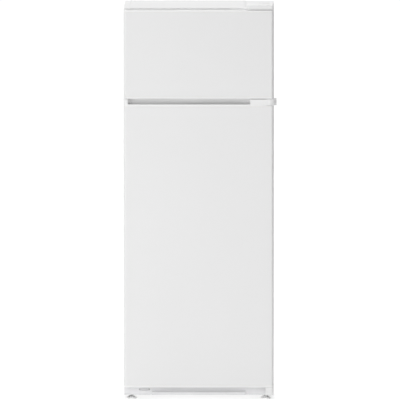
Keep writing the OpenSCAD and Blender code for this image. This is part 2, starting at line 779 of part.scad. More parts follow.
// Folded steel skin: front and both sides, open at the back
module door_skin(z0, z1) difference() {
    door_slab(z0 + fit, z1 - fit);
    door_slab(z0 - 1, z1 + 1, skin_t);
    block([-half_w - 1, door_back - 3, z0 - 1], [half_w + 1, door_back + 1, z1 + 1]);
}

// Solid round the hinge pin inside a cap, and its bore
module pin_boss(z0, z1) post(hinge_x, hinge_y, z0, z1, boss_r);
module pin_hole(z0, z1) post(hinge_x, hinge_y, z0, z1, pin_bore_r);

// Finger groove under the freezer door
groove_front = front_y + 12;
module freezer_groove(grow)
    block([pocket_left - grow, groove_front - grow, freezer_low - 1],
          [pocket_right + grow, groove_front + 20 + grow, freezer_low + 14 + grow]);

module freezer_door_skin() color("whitesmoke") door_skin(freezer_seam, freezer_top_seam);

module freezer_door_top_cap() color("white") difference() {
    union() {
        difference() {
            door_slab(freezer_top_seam, freezer_high);
            door_slab(freezer_top_seam - 1, freezer_high - cap_t, cap_t);
        }
        pin_boss(freezer_high - 26, freezer_high);
    }
    pin_hole(freezer_high - 27, freezer_high + 1);
}

module freezer_door_bottom_cap() color("white") difference() {
    union() {
        difference() {
            door_slab(freezer_low, freezer_seam);
            door_slab(freezer_low + cap_t, freezer_seam + 1, cap_t);
        }
        pin_boss(freezer_low, freezer_low + 22);
        freezer_groove_wall();
    }
    freezer_groove(0);
    pin_hole(freezer_low - 1, freezer_low + 23);
}
module freezer_groove_wall() intersection() {
    freezer_groove(cap_t - 0.5);
    block([-half_w, front_y, freezer_low], [half_w, door_back, freezer_seam + 30]);
}

module freezer_door_foam() color("khaki") difference() {
    union() {
        door_slab(freezer_seam, freezer_top_seam, skin_t + fit);
        door_slab(freezer_low + cap_t + fit, freezer_high - cap_t - fit, cap_t + fit);
    }
    block([-half_w - 1, door_back - liner_t - fit, 0], [half_w + 1, door_back + 1, body_h]);
    pin_boss_room(freezer_high - 27, freezer_high);
    pin_boss_room(freezer_low, freezer_low + 23);
    freezer_groove(cap_t);
}
module pin_boss_room(z0, z1) post(hinge_x, hinge_y, z0, z1, boss_r + fit);

// Inner sheet of a door with its two upright dikes, which carry the bins
module door_liner(z0, z1, dike_left, dike_z0, dike_z1, dike_back) {
    half = half_w - door_side_gap - 3;
    block([-half, door_back - liner_t, z0], [half, door_back, z1]);
    for (x = [dike_left, dike_right - dike_w]) difference() {
        block([x, door_back, dike_z0], [x + dike_w, dike_back, dike_z1]);
        block([x + liner_t, door_back - liner_t - 1, dike_z0 + liner_t],
              [x + dike_w - liner_t, dike_back - liner_t, dike_z1 - liner_t]);
    }
}
module freezer_door_liner() color("ivory")
    door_liner(freezer_seam + fit, freezer_top_seam - fit, freezer_dike_left,
               freezer_floor + 12, freezer_ceiling - 12, cab_front + 30);

// Magnetic gasket between a door and the cabinet front
gasket_x = half_w - 13;
gasket_w = 14;
module gasket(z0, z1) difference() {
    block([-gasket_x, door_back, z0], [gasket_x, cab_front - fit, z1]);
    block([-gasket_x + gasket_w, door_back - 1, z0 + gasket_w],
          [gasket_x - gasket_w, cab_front, z1 - gasket_w]);
}
module freezer_door_gasket() color("gainsboro") gasket(freezer_low + 8, freezer_high - 10);

// Bin between the dikes of a door
module door_bin(z0, z1, left, back) {
    tray([left, door_back + fit, z0], [bin_right, back, z1], bin_wall, 8);
    // Rolled rim along the front of the bin
    bar_x(left + 8, bin_right - 8, back - 1.2, z1, 2.4);
}
freezer_bin_back = cab_front + 62;
module freezer_bin_upper() color("aliceblue") door_bin(1296, 1346, freezer_bin_left, freezer_bin_back);
module freezer_bin_lower() color("aliceblue") door_bin(1158, 1216, freezer_bin_left, freezer_bin_back);

// Space of the grip pocket; the groove behind the lip lies lower than the mouth
pocket_floor = split_z - pocket_mouth;
lip_t = 9;
groove_low = split_z - 44;
module grip_pocket(grow) {
    top = split_z + 1;
    back = front_y + pocket_d;
    // Mouth, open to the front and to the top, its left end swept round in plan
    translate([0, 0, pocket_floor - grow]) linear_extrude(top - pocket_floor + grow) {
        translate([pocket_left + pocket_d, front_y - 1])
            square([pocket_right - pocket_left - pocket_d + grow, pocket_d + 1 + grow]);
        intersection() {
            translate([pocket_left + pocket_d, front_y]) circle(pocket_d + grow, $fn = round_fn);
            translate([pocket_left - grow, front_y]) square([pocket_d + grow, pocket_d + grow]);
        }
        translate([pocket_left - grow, front_y - 1]) square([pocket_d + grow, 1.5]);
    }
    // Groove that the fingertips reach behind the lip
    block([pocket_left + pocket_d - grow, front_y + lip_t - grow, groove_low - grow],
          [pocket_right + grow, back + grow, pocket_floor + 1]);
}

// Room of the middle hinge in the upper right corner of the fridge door
module hinge_notch(grow)
    block([notch_x - grow, front_y - 1, notch_z - grow], [half_w + 1, door_back + 1, split_z + 1]);

module fridge_door_skin() color("whitesmoke") door_skin(fridge_low_seam, cap_seam);

module fridge_door_top_cap() color("white") difference() {
    union() {
        difference() {
            door_slab(cap_seam, split_z);
            door_slab(cap_seam - 1, split_z - cap_t, cap_t);
        }
        intersection() {
            grip_pocket(cap_t);
            block([-half_w + 1, front_y + 1, groove_low - cap_t], [half_w, door_back, split_z]);
        }
        intersection() {
            hinge_notch(cap_t);
            door_slab(notch_z - cap_t, split_z);
        }
        pin_boss(notch_z - 22, notch_z);
    }
    grip_pocket(0);
    hinge_notch(0);
    pin_hole(notch_z - 23, notch_z + 1);
}

module fridge_door_bottom_cap() color("white") difference() {
    union() {
        difference() {
            door_slab(door_low, fridge_low_seam);
            door_slab(door_low + cap_t, fridge_low_seam + 1, cap_t);
        }
        pin_boss(door_low, door_low + 24);
    }
    pin_hole(door_low - 1, door_low + 25);
}

module fridge_door_foam() color("khaki") difference() {
    union() {
        door_slab(fridge_low_seam, cap_seam, skin_t + fit);
        door_slab(door_low + cap_t + fit, split_z - cap_t - fit, cap_t + fit);
    }
    block([-half_w - 1, door_back - liner_t - fit, 0], [half_w + 1, door_back + 1, body_h]);
    pin_boss_room(door_low, door_low + 25);
    pin_boss_room(notch_z - 23, split_z);
    grip_pocket(cap_t + fit);
    hinge_notch(cap_t + fit);
}

module fridge_door_liner() color("ivory")
    door_liner(fridge_low_seam + fit, cap_seam - fit, fridge_dike_left,
               fridge_floor + 14, fridge_ceiling - 14, cab_front + 50);
module fridge_door_gasket() color("gainsboro") gasket(door_low + 13, notch_z);

// Dairy compartment: a bin with a clear lid that lifts on two pins
dairy_low = 848;
dairy_high = 922;
lid_hinge_y = door_back + 10;
lid_hinge_z = dairy_high + 8;
lid_pin_r = 3;
module dairy_bin() color("aliceblue") {
    tray([bin_left, door_back + fit, dairy_low], [bin_right, bin_back, dairy_high], bin_wall, 8);
    for (x = [bin_left, bin_right - 6]) difference() {
        block([x, door_back + fit, dairy_high - 12], [x + 6, lid_hinge_y + 7, lid_hinge_z + 7]);
        bar_x(x - 1, x + 7, lid_hinge_y, lid_hinge_z, lid_pin_r + 0.06);
    }
}
module dairy_lid() color("lightcyan") {
    x0 = bin_left + 7;
    x1 = bin_right - 7;
    bar_x(x0 - 6, x1 + 6, lid_hinge_y, lid_hinge_z, lid_pin_r);
    block([x0, lid_hinge_y, lid_hinge_z - 1], [x1, bin_back - 1, lid_hinge_z + 1.5]);
    block([x0, bin_back - 3, lid_hinge_z - 6.5], [x1, bin_back - 1, lid_hinge_z]);
}

module middle_bin() color("aliceblue") door_bin(480, 560, bin_left, bin_back);
module bottle_bin() color("aliceblue") door_bin(118, 238, bin_left, bin_back);

// Divider that slides along the rim of the bottle bin
divider_x = 40;
module bottle_divider() color("lightcyan") {
    rim = [bin_back, 238];
    block([divider_x, door_back + 12, 168], [divider_x + 2.5, rim[0] - 5, 234]);
    block([divider_x - 8, rim[0] - 5.2, 206], [divider_x + 10.5, rim[0] - 3.8, 243]);
    block([divider_x - 8, rim[0] - 5.2, 241.5], [divider_x + 10.5, rim[0] + 4, 243]);
    block([divider_x - 8, rim[0] + 2.2, 214], [divider_x + 10.5, rim[0] + 4, 243]);
}

// ---------- parts ----------
outer_wrap();
top_panel();
rear_panel();
cabinet_foam();
freezer_liner();
fridge_liner();
mullion_rail();
kick_panel();
base_tray();
upper_hinge();
upper_hinge_cover();
middle_hinge();
middle_hinge_cover();
lower_hinge();
hinge_screws();
blanking_caps();
front_foot_left();
front_foot_right();
rear_roller_left();
rear_roller_right();
compressor();
compressor_grommets();
terminal_box();
evaporation_pan();
condenser();
condenser_brackets();
refrigerant_tubes();
drain_tube();
evaporator_plate();
thermostat_housing();
thermostat_knob();
lamp_bulb();
lamp_cover();
door_switch();
shelf_glass_upper();
shelf_glass_lower();
crisper_cover();
shelf_trims();
crisper_drawer();
freezer_shelf();
ice_tray();
freezer_door_skin();
freezer_door_top_cap();
freezer_door_bottom_cap();
freezer_door_foam();
freezer_door_liner();
freezer_door_gasket();
freezer_bin_upper();
freezer_bin_lower();
fridge_door_skin();
fridge_door_top_cap();
fridge_door_bottom_cap();
fridge_door_foam();
fridge_door_liner();
fridge_door_gasket();
dairy_bin();
dairy_lid();
middle_bin();
bottle_bin();
bottle_divider();
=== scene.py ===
"""Looks of a two-door top freezer refrigerator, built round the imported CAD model.

Metres, +Z up, doors face -Y. Shapes are drawn in millimetres in the same frame.
"""
import json
import math
import bmesh
import bpy
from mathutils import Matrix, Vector


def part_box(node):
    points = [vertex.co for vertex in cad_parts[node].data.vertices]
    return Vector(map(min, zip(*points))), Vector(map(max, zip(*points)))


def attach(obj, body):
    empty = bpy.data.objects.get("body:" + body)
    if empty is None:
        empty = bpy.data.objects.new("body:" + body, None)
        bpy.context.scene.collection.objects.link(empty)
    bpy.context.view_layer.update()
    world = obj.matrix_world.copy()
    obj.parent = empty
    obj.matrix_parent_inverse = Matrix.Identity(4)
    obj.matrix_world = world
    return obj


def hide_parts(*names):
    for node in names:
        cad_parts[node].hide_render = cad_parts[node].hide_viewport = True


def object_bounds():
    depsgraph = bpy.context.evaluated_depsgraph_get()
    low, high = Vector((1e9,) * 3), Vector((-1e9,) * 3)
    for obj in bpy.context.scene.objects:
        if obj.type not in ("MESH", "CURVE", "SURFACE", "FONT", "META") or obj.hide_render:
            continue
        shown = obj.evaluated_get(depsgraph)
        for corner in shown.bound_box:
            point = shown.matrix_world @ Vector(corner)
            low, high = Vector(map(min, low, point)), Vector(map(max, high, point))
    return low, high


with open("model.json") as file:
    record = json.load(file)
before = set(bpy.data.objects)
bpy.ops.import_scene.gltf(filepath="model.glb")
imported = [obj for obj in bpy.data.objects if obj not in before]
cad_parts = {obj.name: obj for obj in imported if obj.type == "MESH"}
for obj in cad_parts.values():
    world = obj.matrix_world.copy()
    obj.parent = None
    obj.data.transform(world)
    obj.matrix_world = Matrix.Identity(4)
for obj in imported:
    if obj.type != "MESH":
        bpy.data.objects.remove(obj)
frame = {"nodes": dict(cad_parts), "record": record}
cad_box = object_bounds()
mm = 0.001

record = frame["record"]
node_body = {node: body for body, nodes in record["behaviour"]["bodies"].items() for node in nodes}
node_slot = {part["node"]: part["material_slot"] for part in record["subparts"]}
collection = bpy.context.scene.collection


# ---------- materials ----------

class Surface:
    """A procedural material round one Principled shader, with short calls for variation and bump."""

    def __init__(self, name, **constants):
        self.material = bpy.data.materials.new(name)
        self.material.use_nodes = True
        self.tree = self.material.node_tree
        self.shader = self.tree.nodes["Principled BSDF"]
        for socket, value in constants.items():
            self.shader.inputs[socket.replace("_", " ")].default_value = value
        self.place = self.add("ShaderNodeTexCoord").outputs["Object"]
        self.last_bump = None

    def add(self, kind, **settings):
        node = self.tree.nodes.new(kind)
        for key, value in settings.items():
            setattr(node, key, value)
        return node

    def link(self, a, b):
        self.tree.links.new(a, b)

    def stretched(self, scale):
        mapping = self.add("ShaderNodeMapping")
        mapping.inputs["Scale"].default_value = scale
        self.link(self.place, mapping.inputs["Vector"])
        return mapping.outputs["Vector"]

    def noise(self, size, detail=2.0, stretch=None):
        """Noise whose features are about size metres across, from 0 to 1."""
        node = self.add("ShaderNodeTexNoise")
        node.inputs["Scale"].default_value = 1.0 / size
        node.inputs["Detail"].default_value = detail
        self.link(self.stretched(stretch) if stretch else self.place, node.inputs["Vector"])
        return node.outputs["Fac"]

    def cells(self, size, output="Distance"):
        node = self.add("ShaderNodeTexVoronoi")
        node.inputs["Scale"].default_value = 1.0 / size
        self.link(self.place, node.inputs["Vector"])
        return node.outputs[output]

    def colours(self, fac, stops):
        """Colour along a ramp of (position, (r, g, b)) stops."""
        ramp = self.add("ShaderNodeValToRGB")
        elements = ramp.color_ramp.elements
        while len(elements) < len(stops):
            elements.new(0.5)
        for element, (position, colour) in zip(elements, stops):
            element.position = position
            element.color = (*colour, 1.0)
        self.link(fac, ramp.inputs["Fac"])
        self.link(ramp.outputs["Color"], self.shader.inputs["Base Color"])
        return self

    def roughness(self, fac, low, high):
        spread = self.add("ShaderNodeMapRange")
        spread.inputs["To Min"].default_value = low
        spread.inputs["To Max"].default_value = high
        self.link(fac, spread.inputs["Value"])
        self.link(spread.outputs["Result"], self.shader.inputs["Roughness"])
        return self

    def bump(self, fac, height, strength=0.5):
        """Bump of about that height in metres, laid over the bumps before it."""
        node = self.add("ShaderNodeBump")
        node.inputs["Strength"].default_value = strength
        node.inputs["Distance"].default_value = height
        self.link(fac, node.inputs["Height"])
        if self.last_bump:
            self.link(self.last_bump, node.inputs["Normal"])
        self.last_bump = node.outputs["Normal"]
        self.link(self.last_bump, self.shader.inputs["Normal"])
        return self


def grey(value, warm=0.0):
    return (value + warm, value, value - warm)


def near(colour, spread):
    """Two stops of a ramp, a little darker and a little lighter than the colour."""
    darker = tuple(c * (1 - spread) for c in colour)
    lighter = tuple(min(1, c * (1 + spread)) for c in colour)
    return [(0.3, darker), (0.7, lighter)]


def painted_steel():
    s = Surface("painted_steel", IOR=1.5, Specular_IOR_Level=0.35)
    s.colours(s.noise(0.35, 3), near(grey(0.835), 0.006))
    s.roughness(s.noise(0.05, 4), 0.38, 0.46)
    s.bump(s.noise(0.16, 1), 0.0004, 0.08)
    return s.bump(s.noise(0.0016, 2), 0.00006, 0.35).material


def white_plastic():
    s = Surface("white_plastic", IOR=1.5)
    s.colours(s.noise(0.06, 3), near(grey(0.875), 0.008))
    s.roughness(s.noise(0.01, 3), 0.36, 0.46)
    return s.bump(s.cells(0.0011), 0.00005, 0.3).material


def liner_plastic():
    s = Surface("liner_plastic", IOR=1.54)
    s.colours(s.noise(0.12, 3), near(grey(0.85, 0.006), 0.008))
    return s.roughness(s.noise(0.02, 4), 0.26, 0.33).material


def grey_plastic():
    s = Surface("grey_plastic", IOR=1.5)
    s.colours(s.noise(0.03, 3), near((0.74, 0.74, 0.75), 0.02))
    s.roughness(s.noise(0.008, 3), 0.42, 0.55)
    return s.bump(s.cells(0.0009), 0.00006, 0.4).material


def dark_plastic():
    s = Surface("dark_plastic", IOR=1.5)
    s.colours(s.noise(0.02, 4), near((0.035, 0.035, 0.038), 0.15))
    s.roughness(s.noise(0.006, 3), 0.45, 0.62)
    return s.bump(s.cells(0.0008), 0.00008, 0.5).material


def clear_plastic():
    s = Surface("clear_plastic", IOR=1.49, Transmission_Weight=0.9, Alpha=0.55)
    s.colours(s.noise(0.08, 2), near((0.93, 0.96, 0.97), 0.01))
    s.roughness(s.noise(0.01, 3), 0.06, 0.13)
    return s.bump(s.noise(0.006, 2), 0.00005, 0.2).material


def shelf_glass():
    s = Surface("shelf_glass", IOR=1.52, Transmission_Weight=1.0, Alpha=0.6)
    s.colours(s.noise(0.2, 2), near((0.86, 0.95, 0.92), 0.01))
    return s.roughness(s.noise(0.05, 3), 0.01, 0.04).material


def lamp_glass():
    s = Surface("lamp_glass", IOR=1.5, Transmission_Weight=0.5)
    s.colours(s.noise(0.01, 3), near((0.93, 0.91, 0.84), 0.02))
    return s.roughness(s.noise(0.004, 3), 0.35, 0.5).material


def galvanised_steel():
    s = Surface("galvanised_steel", Metallic=0.85)
    s.colours(s.cells(0.007, "Color"), [(0.1, grey(0.52)), (0.9, grey(0.60))])
    s.roughness(s.noise(0.004, 4), 0.38, 0.5)
    return s.bump(s.noise(0.003, 3), 0.00004, 0.4).material


def zinc_plated_steel():
    s = Surface("zinc_plated_steel", Metallic=1.0)
    s.colours(s.noise(0.02, 5), [(0.35, (0.50, 0.50, 0.49)), (0.65, (0.62, 0.62, 0.61))])
    s.roughness(s.noise(0.005, 4), 0.22, 0.38)
    return s.bump(s.noise(0.0007, 2, (1, 1, 0.1)), 0.00003, 0.4).material


def bare_aluminium():
    s = Surface("bare_aluminium", Metallic=0.9)
    s.colours(s.noise(0.05, 4), [(0.35, (0.70, 0.71, 0.72)), (0.65, (0.80, 0.80, 0.81))])
    s.roughness(s.noise(0.01, 3), 0.36, 0.5)
    return s.bump(s.noise(0.001, 2, (0.05, 1, 1)), 0.00004, 0.3).material


def black_enamel():
    s = Surface("black_enamel", IOR=1.5)
    s.colours(s.noise(0.03, 4), [(0.3, grey(0.012)), (0.7, grey(0.024))])
    s.roughness(s.noise(0.006, 4), 0.28, 0.45)
    return s.bump(s.noise(0.0018, 3), 0.0001, 0.4).material


def white_wire():
    s = Surface("white_wire", IOR=1.5)
    s.colours(s.noise(0.02, 3), near(grey(0.84), 0.01))
    s.roughness(s.noise(0.004, 3), 0.28, 0.4)
    return s.bump(s.noise(0.0012, 2), 0.00006, 0.4).material


def copper():
    s = Surface("copper", Metallic=1.0)
    brown, red, bright = (0.50, 0.27, 0.18), (0.72, 0.42, 0.29), (0.80, 0.50, 0.37)
    s.colours(s.noise(0.03, 5), [(0.3, brown), (0.55, red), (0.8, bright)])
    return s.roughness(s.noise(0.005, 4), 0.2, 0.42).material


def foam():
    s = Surface("foam")
    s.colours(s.noise(0.01, 5), [(0.3, (0.70, 0.60, 0.34)), (0.7, (0.80, 0.71, 0.46))])
    s.roughness(s.noise(0.004, 3), 0.8, 0.95)
    return s.bump(s.cells(0.002), 0.0006, 0.8).material


def seal_rubber():
    s = Surface("seal_rubber", IOR=1.5)
    s.colours(s.noise(0.02, 4), near(grey(0.60), 0.02))
    s.roughness(s.noise(0.005, 3), 0.5, 0.66)
    return s.bump(s.noise(0.001, 2), 0.00006, 0.4).material


def dark_rubber():
    s = Surface("dark_rubber", IOR=1.5)
    s.colours(s.noise(0.01, 4), near(grey(0.03), 0.2))
    s.roughness(s.noise(0.004, 3), 0.65, 0.85)
    return s.bump(s.noise(0.001, 3), 0.0001, 0.6).material


finishes = {make.__name__: make() for make in (
    painted_steel, white_plastic, liner_plastic, grey_plastic, dark_plastic, clear_plastic, shelf_glass,
    lamp_glass, galvanised_steel, zinc_plated_steel, bare_aluminium, black_enamel, white_wire, copper, foam,
    seal_rubber, dark_rubber)}


# ---------- pieces ----------

def make_piece(name, mesh, body, slot, smooth_angle=35):
    """Links a mesh as a piece that rides on a body and takes its finish from a slot."""
    piece = bpy.data.objects.new(name, mesh)
    collection.objects.link(piece)
    mesh.materials.clear()
    mesh.materials.append(finishes[slot])
    mesh.shade_smooth()
    mesh.set_sharp_from_angle(angle=math.radians(smooth_angle))
    evened = piece.modifiers.new("even_normals", "WEIGHTED_NORMAL")
    evened.keep_sharp = True
    evened.weight = 90
    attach(piece, body)
    return piece


def mesh_from(bm, name):
    bmesh.ops.recalc_face_normals(bm, faces=bm.faces)
    mesh = bpy.data.meshes.new(name)
    bm.to_mesh(mesh)
    bm.free()
    return mesh


def cad_mesh(node):
    """The node's own surface as a bmesh, welded, with its flat faces joined up."""
    weld = 0.002 * mm
    flat_angle = math.radians(0.6)
    bm = bmesh.new()
    bm.from_mesh(frame["nodes"][node].data)
    bmesh.ops.remove_doubles(bm, verts=bm.verts, dist=weld)
    bmesh.ops.dissolve_limit(bm, angle_limit=flat_angle, verts=bm.verts, edges=bm.edges)
    return bm


def round_edges(bm, edges, width, segments):
    bmesh.ops.bevel(bm, geom=edges, offset=width, offset_type="OFFSET", segments=segments,
                    profile=0.5, affect="EDGES", clamp_overlap=True)


def softened(node, width):
    """A piece with the CAD node's shape and its sharp edges rounded, in place of the node."""
    sharp_angle = math.radians(35)
    bm = cad_mesh(node)
    sharp = [e for e in bm.edges if len(e.link_faces) == 2 and e.calc_face_angle(0) > sharp_angle]
    round_edges(bm, sharp, width, 2)
    piece = make_piece(node + "_piece", mesh_from(bm, node), node_body[node], node_slot[node])
    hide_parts(node)


# Nodes that keep the CAD's shape, with the width of their rounding in millimetres
edge_rounding = {
    "outer_wrap": 1.2, "mullion_rail": 0.5, "base_tray": 0.4,
    "upper_hinge": 0.8, "middle_hinge": 0.7, "lower_hinge": 0.8,
    "terminal_box": 2.0, "evaporation_pan": 0.7, "condenser_brackets": 0.7, "drain_tube": 0.3,
    "thermostat_housing": 0.9, "lamp_cover": 0.4, "door_switch": 0.6,
    "shelf_glass_upper": 0.7, "shelf_glass_lower": 0.7, "crisper_cover": 0.7, "shelf_trims": 0.8,
    "ice_tray": 0.7, "freezer_door_skin": 0.15, "fridge_door_skin": 0.15,
    "freezer_door_top_cap": 0.9, "freezer_door_bottom_cap": 0.8,
    "fridge_door_top_cap": 0.9, "fridge_door_bottom_cap": 0.9,
    "dairy_bin": 0.8, "dairy_lid": 0.6, "bottle_divider": 0.4,
}
for node, rounding in edge_rounding.items():
    softened(node, rounding * mm)
for node, cad_object in frame["nodes"].items():
    if node not in edge_rounding:
        cad_object.data.materials.clear()
        cad_object.data.materials.append(finishes[node_slot[node]])


# ---------- shapes drawn in millimetres ----------

hinge_pin = (259, -277)
compressor_x, compressor_y, foot_x, foot_y = 60, 175.5, 62, 52
compressor_holes = [(compressor_x + sx * foot_x, compressor_y + sy * foot_y)
                    for sx in (-1, 1) for sy in (-1, 1)]
knob_centre = (-34, 1043)
fridge_half, freezer_half = 230, 222
cabinet_front = -240.5


def polar(centre, r, angle):
    return centre[0] + r * math.cos(angle), centre[1] + r * math.sin(angle)


def arc(centre, r, start, sweep, steps):
    """Points about a centre, from the start angle through the sweep, both in degrees."""
    return [polar(centre, r, math.radians(start + sweep * i / steps)) for i in range(steps + 1)]


def circle(centre, r, steps=48):
    return [polar(centre, r, 2 * math.pi * i / steps) for i in range(steps)]


def rounded_rect(low, high, r, steps=6):
    """Anticlockwise outline of a rectangle with round corners."""
    r = max(r, 0.05)
    return (arc((high[0] - r, high[1] - r), r, 0, 90, steps)
            + arc((low[0] + r, high[1] - r), r, 90, 90, steps)
            + arc((low[0] + r, low[1] + r), r, 180, 90, steps)
            + arc((high[0] - r, low[1] + r), r, 270, 90, steps))


def inset_rect(low, high, inset, r, steps=6):
    """The rectangle drawn in on every side, with round corners of radius r."""
    return rounded_rect((low[0] + inset, low[1] + inset), (high[0] - inset, high[1] - inset), r, steps)


def turned_bar(centre, angle, near_end, far_end, half):
    """Four corners of a bar that lies along a ray from the centre."""
    c, s = math.cos(angle), math.sin(angle)
    return [(centre[0] + c * u - s * v, centre[1] + s * u + c * v)
            for u, v in ((near_end, -half), (far_end, -half), (far_end, half), (near_end, half))]


def ring(outline, level, axis="z"):
    """The points of an outline, at a level along an axis."""
    return [{"x": (level, a, b), "y": (a, level, b), "z": (a, b, level)}[axis] for a, b in outline]


class Draft:
    """Collects rings of points into one mesh and makes it a piece."""

    def __init__(self):
        self.bm = bmesh.new()

    def rings(self, rings, closed=False):
        """Skins a row of rings of equal length; closed joins the last ring to the first."""
        made = [[self.bm.verts.new(Vector(p) * mm) for p in points] for points in rings]
        pairs = list(zip(made, made[1:])) + ([(made[-1], made[0])] if closed else [])
        for a, b in pairs:
            for i in range(len(a)):
                j = (i + 1) % len(a)
                self.bm.faces.new((a[i], a[j], b[j], b[i]))
        if not closed:
            self.bm.faces.new(made[0])
            self.bm.faces.new(made[-1])

    def stack(self, outline, levels, axis="z", closed=False):
        """Rings of outline(inset) at (level, inset) pairs along an axis."""
        self.rings([ring(outline(inset), level, axis) for level, inset in levels], closed)

    def prism(self, outline, low, high, axis="z"):
        """Straight block with one outline, between two levels along an axis."""
        self.rings([ring(outline, level, axis) for level in (low, high)])

    def pillow(self, low, high, r, edge, axis="z"):
        """Block with upright corners of radius r about the axis and rounded rims."""
        steps = 3
        k = "xyz".index(axis)
        across = [i for i in range(3) if i != k]
        a = [low[i] for i in across]
        b = [high[i] for i in across]
        turn = [math.pi / 2 * i / steps for i in range(steps + 1)]
        rim = [(edge * (1 - math.cos(t)), edge * (1 - math.sin(t))) for t in turn]
        levels = [(low[k] + rise, inset) for rise, inset in rim]
        levels += [(high[k] - rise, inset) for rise, inset in reversed(rim)]
        self.stack(lambda inset: inset_rect(a, b, inset, r - inset), levels, axis)

    def lathe(self, profile, centre, axis="z", steps=48, closed=False):
        """Turns (radius, level) points about an axis through the centre."""
        self.rings([ring(circle(centre, r, steps), level, axis) for r, level in profile], closed)

    def tube(self, route, r, steps=12):
        """Round bar along a route of points, with its ends closed."""
        rings = []
        side = None
        for i, point in enumerate(route):
            point = Vector(point)
            before = (point - Vector(route[i - 1])).normalized() if i else None
            after = (Vector(route[i + 1]) - point).normalized() if i + 1 < len(route) else None
            along = ((before or after) + (after or before)).normalized()
            if side is None:
                side = along.orthogonal().normalized()
            side = (side - along * side.dot(along)).normalized()
            other = along.cross(side)
            rings.append([point + a * side + b * other for a, b in circle((0, 0), r, steps)])
        self.rings(rings)

    def frame(self, profile, low, high):
        """Sweeps a closed (inset, y) profile round an upright rectangle, with mitred corners."""
        def corners(inset, y):
            (x0, z0), (x1, z1) = (c + inset for c in low), (c - inset for c in high)
            return (x0, y, z0), (x1, y, z0), (x1, y, z1), (x0, y, z1)

        self.rings(zip(*(corners(*point) for point in profile)), closed=True)

    def piece(self, name, node, angle=35, slot=None, replace=True):
        """Ends the draft as a piece on the node's body, in the node's place unless told otherwise."""
        mesh = mesh_from(self.bm, name)
        piece = make_piece(name, mesh, node_body[node], slot or node_slot[node], angle)
        if replace:
            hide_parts(node)


def node_box(node):
    """Two corners of a CAD node, in millimetres."""
    low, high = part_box(node)
    return [c / mm for c in low], [c / mm for c in high]


# ---------- cabinet outside ----------

def top_panel():
    """Flat pressing on the cabinet top, with a bead just inside its rim."""
    low, high = node_box("top_panel")
    top = high[2]
    d = Draft()
    d.stack(lambda inset: inset_rect(low, high, inset, 6 - inset),
            [(low[2], 0.4), (top - 0.5, 0), (top - 0.15, 0.25), (top, 0.7), (top, 1.6),
             (top - 1.1, 2.1), (top - 1.1, 3.6), (top - 0.1, 4.2), (top, 5.0)])
    d.piece("top_panel_pressing", "top_panel", 50)


def upper_hinge_cover():
    """Thin moulded hood with full edges and a sunk field on its deck."""
    low, high = node_box("upper_hinge_cover")
    top = high[2]
    wall, rim = 2.0, 4.4
    d = Draft()
    d.stack(lambda inset: inset_rect(low, high, inset, 7 - min(inset, 6.5)),
            [(low[2], wall), (low[2], 0.3), (low[2] + 0.3, 0), (top - 3.4, 0), (top - 2.3, 0.3),
             (top - 1.1, 1.1), (top - 0.3, 2.3), (top, 3.4), (top, rim), (top - wall, rim + 0.2),
             (top - wall - 0.6, wall + 0.6), (top - wall - 2, wall)], closed=True)
    deck_low, deck_high = (low[0] + rim, low[1] + rim), (high[0] - rim, high[1] - rim)
    field_low, field_high = (222, low[1] + 8), (264.4, high[1] - 10)
    deck = [ring(inset_rect(deck_low, deck_high, inset, 3), level)
            for level, inset in ((top - wall, 0.2), (top, 0))]
    field = [ring(inset_rect(field_low, field_high, inset, 3), level)
             for level, inset in ((top, -0.5), (top - 0.2, -0.1), (top - 1.4, 0.2), (top - 1.6, 0.6))]
    d.rings(deck + field)
    d.piece("upper_hinge_cover_hood", "upper_hinge_cover", 50)


def rear_panel():
    """Steel sheet with three pressed stiffening beads and a row of screws along each side."""
    low, high = node_box("rear_panel")
    back, hem = high[1], 1.6
    d = Draft()
    d.pillow((low[0], low[1], low[2] - hem), high, 1.0, 0.15, "y")
    d.piece("rear_panel_sheet", "rear_panel")
    bead_reach, bead_half = 190, 5
    beads = Draft()
    for z in (low[2] + 26, high[2] - 62, high[2] - 26):
        bead_low, bead_high = (-bead_reach, z - bead_half), (bead_reach, z + bead_half)
        beads.stack(lambda inset: inset_rect(bead_low, bead_high, inset, bead_half - inset),
                    [(back - 0.2, 0), (back + 0.4, 0.5), (back + 1.2, 1.6), (back + 1.6, 3.2)], "y")
    beads.piece("rear_panel_beads", "rear_panel", replace=False)
    screw_x, screw_margin, gaps = 263, 20, 7
    screws = Draft()
    for side in (-1, 1):
        for i in range(gaps + 1):
            z = low[2] + screw_margin + i * (high[2] - low[2] - 2 * screw_margin) / gaps
            pan_screw(screws, (side * screw_x, z), back, 1, "y", r=3.4, height=1.8)
    screws.piece("rear_panel_screws", "rear_panel", slot="zinc_plated_steel", replace=False)


def pan_screw(d, centre, seat, way, axis, r, height):
    """Domed screw head on a washer at the seat, rising along the axis by way * height, with a cross."""
    rise = way * height
    d.lathe([(r * 1.25, seat), (r * 1.25, seat + way * 0.35), (r, seat + way * 0.4),
             (r * 0.98, seat + rise * 0.5), (r * 0.8, seat + rise * 0.85), (r * 0.5, seat + rise)],
            centre, axis, 24)
    long, short = r * 0.45, r * 0.1
    for turn in (0, math.pi / 2):
        cross = turned_bar(centre, turn, -long, long, short)
        d.prism(cross, seat + rise * 0.9, seat + rise * 1.02, axis)


def hinge_screws():
    """Heads on the upper hinge, from above, and on the middle and lower hinges, from the front."""
    upper_seat, front_seat = 1442.5, -243.5
    d = Draft()
    for x in (252, 266):
        for y in (-215.5, -185.5):
            pan_screw(d, (x, y), upper_seat, 1, "z", r=4.4, height=2.4)
        for z in (1092.7, 1104.1, 27, 39):
            pan_screw(d, (x, z), front_seat, -1, "y", r=3.3, height=2.1)
    d.piece("hinge_screw_heads", "hinge_screws")


